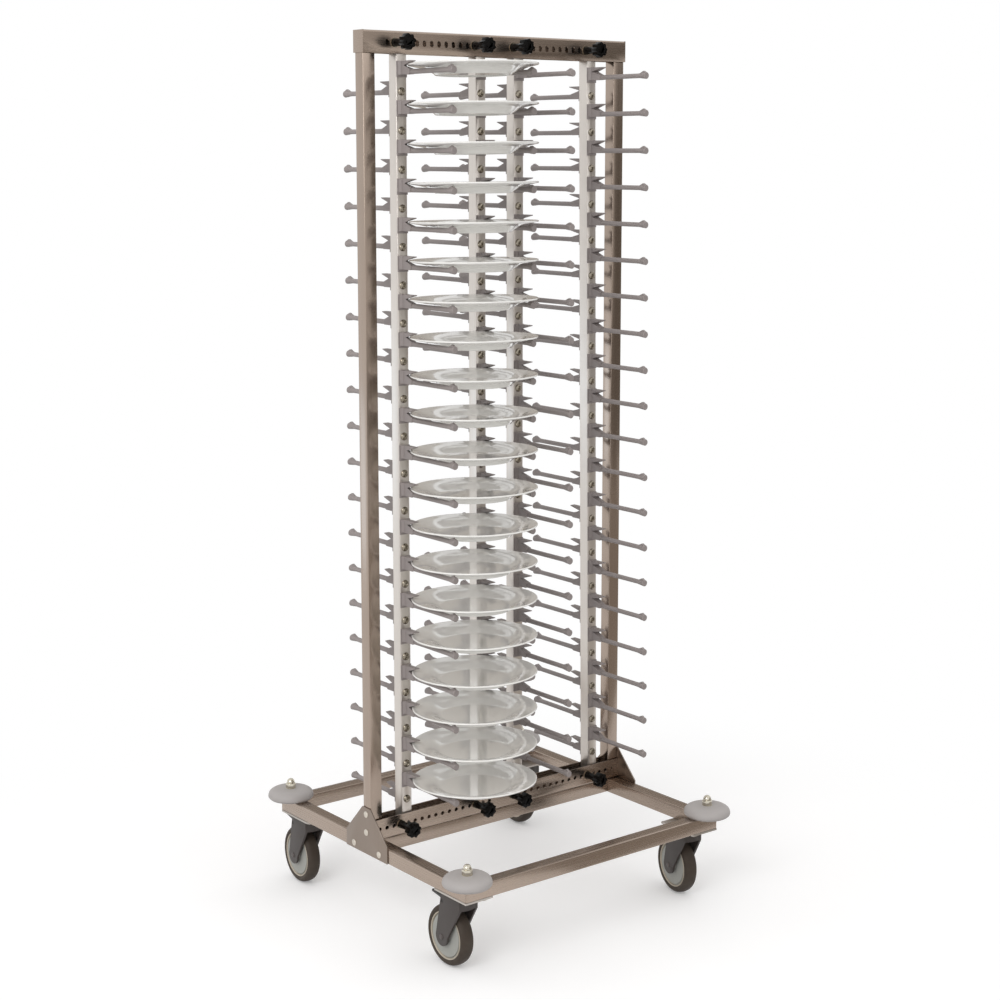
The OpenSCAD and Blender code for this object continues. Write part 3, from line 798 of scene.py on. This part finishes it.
@dataclass
class FrameFasteners(Assembly):
    """Rivets of the gussets, castor plates and their bolts.

    Attributes:
        face: From the middle of the rack to the outer face of a gusset.
        rivets: Places of one gusset's rivets, deep and high.
    """

    face: float = 0.343
    rivets: Pairs = ((0.0, 0.211), (0.0, 0.250), (0.046, 0.176), (-0.046, 0.176))

    def rivet(self) -> Object:
        """Turns a flat rivet head with a soft edge.

        Returns:
            The head, its foot on the XY plane.
        """
        outline = [
            (0.0, 0.0), (0.0070, 0.0), (0.0070, 0.0006), (0.0066, 0.0012), (0.0058, 0.0016), (0.0, 0.0019),
        ]
        return turned("rivet_head", outline, SMALL_TURN, angle=60.0, closed=False)

    def build(self) -> None:
        """Sets the rivets and gives the plated pieces their finishes."""
        places = [
            moved(side * self.face, deep, high) @ spun(math.radians(90 * side), "Y")
            for side in (-1, 1)
            for deep, high in self.rivets
        ]
        self.shop.add(copies(self.rivet(), "rivet_heads", places), ROOT, RIVET_METAL, "gusset_rivets")
        self.shop.dress("castor_mounting_plates", ZINC)
        self.shop.dress("castor_plate_bolts", ZINC)


@dataclass
class Columns(Assembly):
    """The four columns with their arms, screws and clamp shoes.

    Attributes:
        rounding: Rounding of the column tubes.
        rows: Rows of arms on each face.
        pitch: Height from row to row.
        top_row: Height of the jaws' tops in the uppermost front row.
        screw_drop: How far a screw is below the top of its arm's jaw.
        half_tube: Half the side of a column tube.
        heads: Places of the columns across the rack, at their upper studs.
        stud_height: Height of the upper studs.
        leans: How far each column leans, in radians.
        sides: Sides of a screw head.
        head_radius: Its radius at the foot.
        head_edge: Height of its upright edge.
        dome: Width and height of the steps of its domed top.
        cross_arm: From the middle of the cross recess to an end.
        cross_half: Half the width of the recess.
        cross_depth: Its depth.
        cross_taper: Its size at the bottom, as a share of that at the top.
        row_spin: How far the screws turn from row to row, in radians.
        place_spin: How far they turn from column to column, per metre.
    """

    rounding: float = 0.0015
    rows: int = ROWS
    pitch: float = PITCH
    top_row: float = 1.790
    screw_drop: float = 0.021
    half_tube: float = 0.0125
    heads: tuple[float, ...] = (-0.248, -0.050, 0.050, 0.248)
    stud_height: float = 1.825
    leans: tuple[float, ...] = (0.0, 0.0, 0.0, 0.011194)
    sides: int = 12
    head_radius: float = 0.0083
    head_edge: float = 0.0016
    dome: Pairs = ((0.0014, 0.0014), (0.0018, 0.0008), (0.0021, 0.0004))
    cross_arm: float = 0.0030
    cross_half: float = 0.0007
    cross_depth: float = 0.0014
    cross_taper: float = 0.7
    row_spin: float = 0.9
    place_spin: float = 7.0

    def screw(self) -> Object:
        """Models a pan head with a cross recess, its foot on the XY plane.

        Returns:
            The screw head.
        """
        head = drum("screw_head", self.sides, self.head_radius, self.head_edge)
        step_end(head, self.dome)
        arm, half = self.cross_arm, self.cross_half
        corners = [(arm, half), (half, half), (half, arm)]
        top = max(vert.co.z for vert in head.data.vertices)
        ring = [vert.co.copy() for vert in head.data.vertices if vert.co.z > top - SAME_POINT]
        with editing(head, "VERT"):
            for start in ring:
                index = round(math.atan2(start.y, start.x) % math.tau * self.sides / math.tau) % self.sides
                quarter, corner = divmod(index, len(corners))
                goal = spun(math.tau * quarter / 4, "Z") @ Vector((*corners[corner], top))
                pick_verts(head, lambda co: (co - start).length < SAME_POINT)
                bpy.ops.transform.translate(value=goal - start)
        with editing(head, "FACE"):
            pick_ends(head, reach=half)
            bpy.ops.mesh.extrude_region_move(TRANSFORM_OT_translate={"value": (0, 0, -self.cross_depth)})
            bpy.ops.transform.resize(value=(*[self.cross_taper] * 2, 1.0), center_override=(0, 0, 0))
        smooth(head, 50.0)
        return head

    def places(self) -> list[Matrix]:
        """Works out where the screw heads sit.

        Returns:
            A place for each head that stands along +Z.
        """
        places = []
        for x, lean in zip(self.heads, self.leans):
            column = moved(x, 0.0, self.stud_height) @ spun(-lean, "Y") @ moved(0.0, 0.0, -self.stud_height)
            for row in range(self.rows):
                for side, shift in ((1, 0.0), (-1, self.pitch / 2)):
                    height = self.top_row - row * self.pitch - shift - self.screw_drop
                    spin = spun(row * self.row_spin + x * self.place_spin + side, "Z")
                    face = spun(math.radians(-90.0 * side), "X")
                    seat = moved(0.0, side * self.half_tube, height)
                    places.append(column @ seat @ face @ spin)
        return places

    def build(self) -> None:
        """Rounds the tubes and gives arms, screws and shoes their finishes."""
        for number in range(1, len(self.heads) + 1):
            self.shop.soften(f"column_tube_{number}", ROOT, COLUMN_METAL, self.rounding)
            self.shop.dress(f"plate_arms_{number}", ARM_PLASTIC)
        screws = copies(self.screw(), "arm_screw_heads", self.places())
        # The screw heads' dark colour is partly painted shade.
        self.shop.add(screws, ROOT, SHADED_SCREW_METAL, "arm_screws")
        self.shop.dress("clamp_shoes", SHOE_PLASTIC)
        # The washers take the screws' darkened colour, painted shade round the knobs' necks.
        self.shop.dress("knob_washers", SHADED_SCREW_METAL)


@dataclass
class ClampKnobs(Assembly):
    """The eight lobed knobs that clamp the columns.

    Attributes:
        lobes: Lobes round a knob's head.
        outer: Radius over the lobes.
        inner: Radius between the lobes.
        thickness: Thickness of the head.
        neck_front: Radius of the neck at the head.
        neck_back: Radius of the neck at the channel.
        clearance: From the washer to the neck's foot.
        front: Width and height of the steps of the head's face.
        back: The same for its back.
        rounding: Rounding of the lobes.
        count: Knobs on each channel.
        turn: How far each knob is turned from the one before, in radians.
    """

    lobes: int = 8
    outer: float = 0.0163
    inner: float = 0.0132
    thickness: float = 0.016
    neck_front: float = 0.007
    neck_back: float = 0.0085
    clearance: float = 0.0002
    front: Pairs = ((0.0016, 0.0), (0.0030, 0.0006), (0.0010, -0.0010))
    back: Pairs = ((0.0016, 0.0), (0.0030, 0.0))
    rounding: float = 0.0016
    count: int = 4
    turn: float = 0.2

    def model(self, length: float) -> Object:
        """Models a knob with its foot on the XY plane and its head along +Z.

        Args:
            length: Length from its foot to its face.

        Returns:
            The knob.
        """
        per_lobe = 6
        sides = self.lobes * per_lobe
        foot = length - self.thickness
        head = placed(drum("knob", sides, self.outer, self.thickness), moved(0, 0, foot))
        step = math.tau / sides
        with editing(head, "VERT"):
            for phase in range(1, per_lobe):
                dip = 0.5 - 0.5 * math.cos(math.tau * phase / per_lobe)
                scale = 1 - (1 - self.inner / self.outer) * dip
                pick_verts(head, lambda co: round(math.atan2(co.y, co.x) / step) % per_lobe == phase)
                bpy.ops.transform.resize(value=(scale, scale, 1), center_override=(0, 0, 0))
        step_end(head, self.front)
        step_end(head, self.back, -1)
        rounded(head, self.rounding, segments=3, angle=55.0)
        outline = [
            (0.0, foot + 0.001), (self.neck_front, foot + 0.001), (self.neck_front * 0.98, foot - 0.004),
            (self.neck_back * 0.92, 0.006), (self.neck_back, 0.0012), (self.neck_back - 0.0008, 0.0),
            (0.0, 0.0),
        ]
        neck = turned("knob_neck", outline, SMALL_TURN, angle=50.0, closed=False)
        activate(head)
        neck.select_set(True)
        bpy.ops.object.join()
        return head

    def build(self) -> None:
        """Sets a knob on each stud, just clear of its washer."""
        foot_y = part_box("knob_washers")[0].y - self.clearance
        for level in ("top", "bottom"):
            for number in range(1, self.count + 1):
                node = f"knob_{level}_{number}"
                low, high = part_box(node)
                middle = (low + high) / 2
                knob = self.model(foot_y - low.y)
                turn = spun(math.pi / 2, "X") @ spun(self.turn * number, "Z")
                placed(knob, moved(middle.x, foot_y, middle.z) @ turn)
                knob.name = knob.data.name = f"{node}_lobed"
                self.shop.add(knob, node, KNOB_PLASTIC, node)


@dataclass
class Castor(Assembly):
    """One swivel castor with its brake pedal.

    Attributes:
        number: Which castor it is.
        swivel: Place of the swivel axis, across and deep.
        turn: How far the castor is turned, in degrees.
        radius: Radius of the wheel.
        trail: From the swivel axis back to the axle.
        rounding: Rounding of the fork.
        fold: Length from which a fold of the fork is rounded.
    """

    number: int
    swivel: tuple[float, float]
    turn: float
    radius: float = 0.0625
    trail: float = 0.0346
    rounding: float = 0.0009
    fold: float = 0.006

    @property
    def axle(self) -> Matrix:
        """The wheel's axle: Z runs along it."""
        swivel = moved(*self.swivel, 0.0) @ spun(math.radians(-self.turn), "Z")
        return swivel @ moved(0.0, self.trail, self.radius) @ spun(math.radians(90), "Y")

    def tyre(self) -> Object:
        """Turns the tyre with its rounded tread.

        Returns:
            The tyre, on its axle.
        """
        half = [
            (0.0492, 0.0128), (0.0505, 0.0137), (0.0525, 0.0146), (0.0545, 0.0149), (0.0568, 0.0143),
            (0.0588, 0.0128), (0.0604, 0.0106), (0.0615, 0.0079), (0.0622, 0.0045),
        ]
        outline = mirrored(half)
        outline.insert(len(half), (self.radius, 0.0))
        return placed(turned(f"tyre_{self.number}_tread", outline, WIDE_TURN, angle=50.0), self.axle)

    def ring(self) -> Object:
        """Turns the pale ring between the wheel's centre and its tyre, on its axle; its pale colour is a
        painted highlight.
        """
        half = [(0.0462, 0.0118), (0.0467, 0.0133), (0.0476, 0.0139), (0.0486, 0.0139), (0.0493, 0.0130)]
        return placed(turned(f"wheel_{self.number}_ring", mirrored(half), WIDE_TURN, angle=60.0), self.axle)

    def core(self) -> Object:
        """Turns the wheel's centre with its hub and the groove before the ring.

        Returns:
            The centre, on its axle.
        """
        half = [
            (0.0051, 0.0164), (0.0118, 0.0164), (0.0124, 0.0158), (0.0130, 0.0128), (0.0150, 0.0119),
            (0.0405, 0.0132), (0.0430, 0.0131), (0.0437, 0.0123), (0.0440, 0.0100), (0.0458, 0.0100),
        ]
        return placed(turned(f"wheel_{self.number}_centre", mirrored(half), WIDE_TURN, angle=40.0), self.axle)

    def axle_pin(self) -> Object:
        """Turns the axle with a small flat cap at each end.

        Returns:
            The axle, in its place.
        """
        half = [(0.0, 0.0245), (0.0050, 0.0245), (0.0058, 0.0238), (0.0058, 0.0231), (0.0049, 0.0231)]
        piece = turned(f"castor_{self.number}_pin", mirrored(half), SMALL_TURN, angle=50.0, closed=False)
        return placed(piece, self.axle)

    def build(self) -> None:
        """Builds the castor's pieces and gives the rest their finishes."""
        number = self.number
        self.shop.add(self.tyre(), f"wheel_{number}", TYRE_RUBBER, f"tyre_{number}")
        # The ring's pale colour is a painted highlight.
        self.shop.add(self.ring(), f"wheel_{number}", RING_PAINTED_HIGHLIGHT)
        self.shop.add(self.core(), f"wheel_{number}", CORE_PLASTIC, f"wheel_core_{number}")
        self.shop.add(self.axle_pin(), f"castor_{number}", AXLE_CAP, f"castor_axle_{number}")
        fork = f"castor_fork_{number}"
        self.shop.soften(fork, f"castor_{number}", FORK_PLASTIC, self.rounding, self.fold)
        self.shop.dress(f"brake_pedal_{number}", PEDAL_PLASTIC)


@dataclass
class CornerBumpers(Assembly):
    """The four round bumpers and their cap nuts.

    Attributes:
        reach: From the middle of the rack to a bumper's middle, each way.
        radius: Widest radius.
        bore: Radius of its bore.
        low_radius: Radius of its foot.
        top_radius: Radius of the flat on its top.
        height: Height of a bumper.
        side_height: Height at which it is widest.
        side_power: How full its side is; 1 gives a quarter of an ellipse.
        top_power: How full its top is.
        flats: Half the width of a nut over its flats.
        hexagon: Height of its hexagon.
        dome_radius: Radius of its dome.
        dome_foot: Height at which the dome begins to round.
        dome_height: Height of the dome from there.
        rim: Radius of its collar.
        collar: Thickness of the collar.
        chamfer: Width and height of the step on the hexagon.
        rounding: Rounding of the hexagon.
    """

    reach: float = 0.325
    radius: float = 0.05
    bore: float = 0.0061
    low_radius: float = 0.046
    top_radius: float = 0.017
    height: float = 0.022
    side_height: float = 0.0055
    side_power: float = 0.62
    top_power: float = 0.86
    flats: float = 0.0095
    hexagon: float = 0.011
    dome_radius: float = 0.0087
    dome_foot: float = 0.0135
    dome_height: float = 0.0083
    rim: float = 0.0105
    collar: float = 0.001
    chamfer: Pairs = ((0.0012, 0.0006),)
    rounding: float = 0.0005

    @property
    def places(self) -> list[Matrix]:
        """The foot of each bumper."""
        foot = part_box("corner_bumpers")[0].z
        return [moved(sx * self.reach, sy * self.reach, foot) for sx in (-1, 1) for sy in (-1, 1)]

    def bumper(self) -> Object:
        """Turns a bumper with its bulging side and domed top.

        Returns:
            The bumper, on the XY plane.
        """
        outline = [(self.bore, 0.0), (self.low_radius, 0.0)]
        for angle in (-60, -40, -20):
            turn = math.radians(angle)
            inset = 2 * (self.radius - self.low_radius) * (1 - math.cos(turn))
            outline.append((self.radius - inset, self.side_height * (1 + math.sin(turn))))
        for angle in range(0, 91, 10):
            across = max(0.0, math.cos(math.radians(angle))) ** self.side_power
            up = math.sin(math.radians(angle)) ** self.top_power
            outline.append((
                self.top_radius + across * (self.radius - self.top_radius),
                self.side_height + up * (self.height - self.side_height),
            ))
        outline.append((self.bore, self.height))
        return turned("corner_bumper", outline, MIDDLE_TURN, angle=60.0)

    def cap_nut(self) -> Object:
        """Turns and facets a cap nut with its collar and dome.

        Returns:
            The nut, with its foot on the bumper's top.
        """
        hexagon = drum("cap_nut", 6, self.flats / math.cos(math.pi / 6), self.hexagon)
        step_end(hexagon, self.chamfer)
        rounded(hexagon, self.rounding, segments=2, angle=25.0)
        radius, foot = self.dome_radius, self.dome_foot
        outline = [(0.0, 0.005), (0.0086, 0.0108), (radius, foot)]
        for angle in range(15, 91, 15):
            turn = math.radians(angle)
            outline.append((radius * math.cos(turn), foot + self.dome_height * math.sin(turn)))
        dome = turned("nut_dome", outline, SMALL_TURN, angle=60.0, closed=False)
        outline = [(0.0, 0.0), (self.rim, 0.0), (self.rim, self.collar), (0.0, self.collar)]
        collar = turned("nut_collar", outline, SMALL_TURN, angle=0.0, closed=False)
        activate(hexagon)
        dome.select_set(True)
        collar.select_set(True)
        bpy.ops.object.join()
        return placed(hexagon, moved(0, 0, self.height))

    def build(self) -> None:
        """Sets the bumpers and nuts on the base's corners."""
        bumpers = copies(self.bumper(), "bumper_domes", self.places)
        self.shop.add(bumpers, ROOT, BUMPER_RUBBER, "corner_bumpers")
        nuts = copies(self.cap_nut(), "bumper_nuts", self.places)
        self.shop.add(nuts, ROOT, NUT_METAL, "bumper_cap_nuts")


@dataclass
class DinnerPlates(Assembly):
    """The twenty plates between the loaded pair of columns.

    Attributes:
        count: How many plates there are.
        pitch: Height from plate to plate.
        radius: Radius of a plate.
        height: Height of a plate.
        tilt: How far the front of a plate is raised, in degrees.
    """

    count: int = ROWS
    pitch: float = PITCH
    radius: float = 0.130
    height: float = 0.023
    tilt: float = 1.0

    def plate(self) -> Object:
        """Turns a coupe-rimmed dinner plate with its foot ring.

        Returns:
            The plate, on the XY plane.
        """
        r, h = self.radius, self.height
        under = [
            (0.0, 0.0020), (0.0715, 0.0022), (0.0722, 0.0004), (0.0735, 0.0), (0.0755, 0.0), (0.0768, 0.0006),
            (0.0785, 0.0030), (0.0850, 0.0066), (0.0925, 0.0118), (0.1050, 0.0148), (0.1180, 0.0174),
            (r - 0.0012, h - 0.0034), (r - 0.0002, h - 0.0024), (r, h - 0.0014),
        ]
        upper = [
            (r - 0.0006, h - 0.0004), (r - 0.0018, h), (r - 0.0034, h - 0.0004), (0.1180, h - 0.0016),
            (0.1060, 0.0187), (0.0965, 0.0160), (0.0900, 0.0135), (0.0840, 0.0108), (0.0785, 0.0082),
            (0.0740, 0.0065), (0.0690, 0.0060), (0.0, 0.0059),
        ]
        return turned("dinner_plate", under + upper, WIDE_TURN, angle=60.0, closed=False)

    def build(self) -> None:
        """Puts the plates in the notches."""
        low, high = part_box("plates")
        middle = (low + high) / 2
        slope = math.radians(self.tilt)
        rise = self.radius * math.sin(slope)
        top_z = high.z - rise - self.height * math.cos(slope)
        places = [
            moved(middle.x, middle.y, top_z - row * self.pitch) @ spun(-slope, "X")
            for row in range(self.count)
        ]
        stack = copies(self.plate(), "dinner_plates", places)
        self.shop.add(stack, "plates", CHINA, "plates")


@dataclass
class Studio:
    """Floor, white surroundings, lamps and the camera.

    Attributes:
        position: Where the camera stands.
        heading: Its turn from +Y towards +X, in radians.
        dip: How far it looks down, in radians.
        lens_pixels: Focal length in pixels.
        middle_row: Row of the frame that the optical axis meets.
        frame: Width and height of the frame in pixels.
        fade_from: Distance from the origin at which the floor begins to turn white.
        fade_to: Distance at which it is white.
        lift: How much the floor glows by itself.
        ambient: How much light the surroundings give.
    """

    position: tuple[float, float, float] = (-2.4484, -3.1441, 1.6129)
    heading: float = 0.6637
    dip: float = 0.1513
    lens_pixels: float = 1893.5
    middle_row: float = 440.0
    frame: float = 1000.0
    fade_from: float = 0.6
    fade_to: float = 1.5
    lift: float = 0.11
    ambient: float = 0.85

    def camera(self) -> None:
        """Sets up the camera at the photograph's angle."""
        data = bpy.data.cameras.new("camera")
        data.sensor_width = 36.0
        data.lens = data.sensor_width * self.lens_pixels / self.frame
        data.shift_y = (self.middle_row - self.frame / 2) / self.frame
        data.clip_end = 100.0
        camera = linked("camera", data)
        camera.location = self.position
        camera.rotation_euler = (math.pi / 2 - self.dip, 0.0, -self.heading)
        bpy.context.scene.camera = camera

    def covering(self, piece: Object) -> Nodes:
        """Gives a part of the studio an empty material of its own and marks it as stage.

        Args:
            piece: The part of the studio.

        Returns:
            The material's nodes.
        """
        material = bpy.data.materials.new(f"{piece.name}_cover")
        material.use_nodes = True
        material.node_tree.nodes.clear()
        piece.data.materials.append(material)
        piece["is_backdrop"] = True
        return Nodes(material.node_tree)

    def floor(self) -> None:
        """Lays a pale floor that keeps the rack's shadow and fades to white."""
        clear_selection()
        bpy.ops.mesh.primitive_plane_add(size=60.0)
        floor = bpy.context.object
        floor.name = "floor"
        nodes = self.covering(floor)
        place = nodes.node("TexCoord")["Object"]
        away = nodes.node("VectorMath", {"operation": "LENGTH"}, n0=place)["Value"]
        fade = nodes.node(
            "MapRange", {"interpolation_type": "SMOOTHSTEP"},
            Value=away, From_Min=self.fade_from, From_Max=self.fade_to, To_Min=0.05, To_Max=1.0,
        )[0]
        cloth = nodes.node("BsdfDiffuse", Color=(0.95, 0.95, 0.955, 1.0))[0]
        lift = nodes.node("Emission", Strength=self.lift)[0]
        white = nodes.node("Emission", Strength=1.0)[0]
        seen = nodes.node("LightPath")
        direct = nodes.math("MAXIMUM", seen["Is Camera Ray"], seen["Is Glossy Ray"])
        plain = nodes.node("BsdfDiffuse", Color=(0.6, 0.6, 0.6, 1.0))[0]
        ground = nodes.node("AddShader", n0=cloth, n1=lift)[0]
        nodes.node("OutputMaterial", Surface=nodes.mix(direct, plain, nodes.mix(fade, ground, white)))

    def surroundings(self) -> None:
        """Makes the world white where it is seen and plain grey where it only lights."""
        world = bpy.data.worlds.new("studio")
        world.use_nodes = True
        nodes = Nodes(world.node_tree)
        nodes.tree.nodes.clear()
        seen = nodes.node("LightPath")
        shown = nodes.math("MAXIMUM", seen["Is Camera Ray"], seen["Is Glossy Ray"])
        direct = nodes.math("MAXIMUM", shown, seen["Is Transmission Ray"])
        tone = (1.0, 0.99, 0.98, 1.0)
        light = nodes.node("Background", Color=tone, Strength=self.ambient)[0]
        white = nodes.node("Background", Color=(1.0, 1.0, 1.0, 1.0), Strength=1.0)[0]
        nodes.node("OutputWorld", Surface=nodes.mix(direct, light, white))
        bpy.context.scene.world = world

    def card(
        self, name: str, place: Sequence[float], aim: Sequence[float], size: Sequence[float], tone: Colour
    ) -> None:
        """Sets up a card that only the rack's gloss shows, as a darker or brighter part of the studio.

        Args:
            name: The card's name.
            place: Its middle.
            aim: The point that it faces.
            size: Its width and height.
            tone: Its tone; below 1 it is darker than the white round it.
        """
        clear_selection()
        bpy.ops.mesh.primitive_plane_add(size=1.0)
        card = bpy.context.object
        card.name = name
        card.scale = (*size, 1.0)
        card.location = place
        card.rotation_euler = (Vector(aim) - Vector(place)).to_track_quat("Z", "Y").to_euler()
        nodes = self.covering(card)
        nodes.node("OutputMaterial", Surface=nodes.node("Emission", Color=(*tone, 1.0))[0])
        card.visible_camera = card.visible_diffuse = False
        card.visible_transmission = card.visible_shadow = False

    def lamp(self, name: str, place: Sequence[float], size: float, power: float) -> None:
        """Hangs a soft square lamp that faces the rack.

        Args:
            name: The lamp's name.
            place: Where it hangs.
            size: Its width.
            power: Its power in watts.
        """
        data = bpy.data.lights.new(name, "AREA")
        data.size = size
        data.energy = power
        lamp = linked(name, data)
        lamp.location = place
        aim = Vector((0.0, 0.0, 0.9)) - Vector(place)
        lamp.rotation_euler = aim.to_track_quat("-Z", "Y").to_euler()

    def build(self) -> None:
        """Sets up the whole studio."""
        self.camera()
        self.floor()
        self.surroundings()
        self.card("front_flag", (3.1, -4.0, 1.3), (0.0, 0.0, 1.3), (5.0, 3.6), (0.20, 0.18, 0.16))
        self.card("back_flag", (3.1, 4.0, 1.9), (0.0, 0.0, 1.9), (4.0, 3.0), (0.36, 0.32, 0.28))
        self.card("floor_flag", (1.9, -2.2, 0.004), (1.9, -2.2, 1.0), (3.6, 3.4), (0.42, 0.38, 0.34))
        self.card("side_panel", (-2.45, 3.14, 0.55), (-0.3, 0.0, 1.06), (1.3, 0.75), (1.55, 1.7, 1.85))
        self.lamp("key_lamp", (-4.0, -2.0, 3.2), 2.6, 85.0)
        self.lamp("front_lamp", (1.5, -4.5, 2.2), 2.6, 12.0)
        bpy.context.scene.view_settings.view_transform = "Standard"


def main() -> None:
    """Builds the rack and its studio."""
    logging.basicConfig(level=logging.INFO, format="%(message)s")
    shop = Workshop()
    Studio().build()
    BaseAndUprights(shop).build()
    FrameFasteners(shop).build()
    Columns(shop).build()
    ClampKnobs(shop).build()
    for number, swivel, turn in (
        (1, (-0.307, -0.280), 0.0),
        (2, (0.307, -0.280), 11.0),
        (3, (-0.307, 0.280), 4.0),
        (4, (0.307, 0.280), 5.0),
    ):
        Castor(shop, number, swivel, turn).build()
    CornerBumpers(shop).build()
    DinnerPlates(shop).build()


if __name__ == "__main__":
    main()
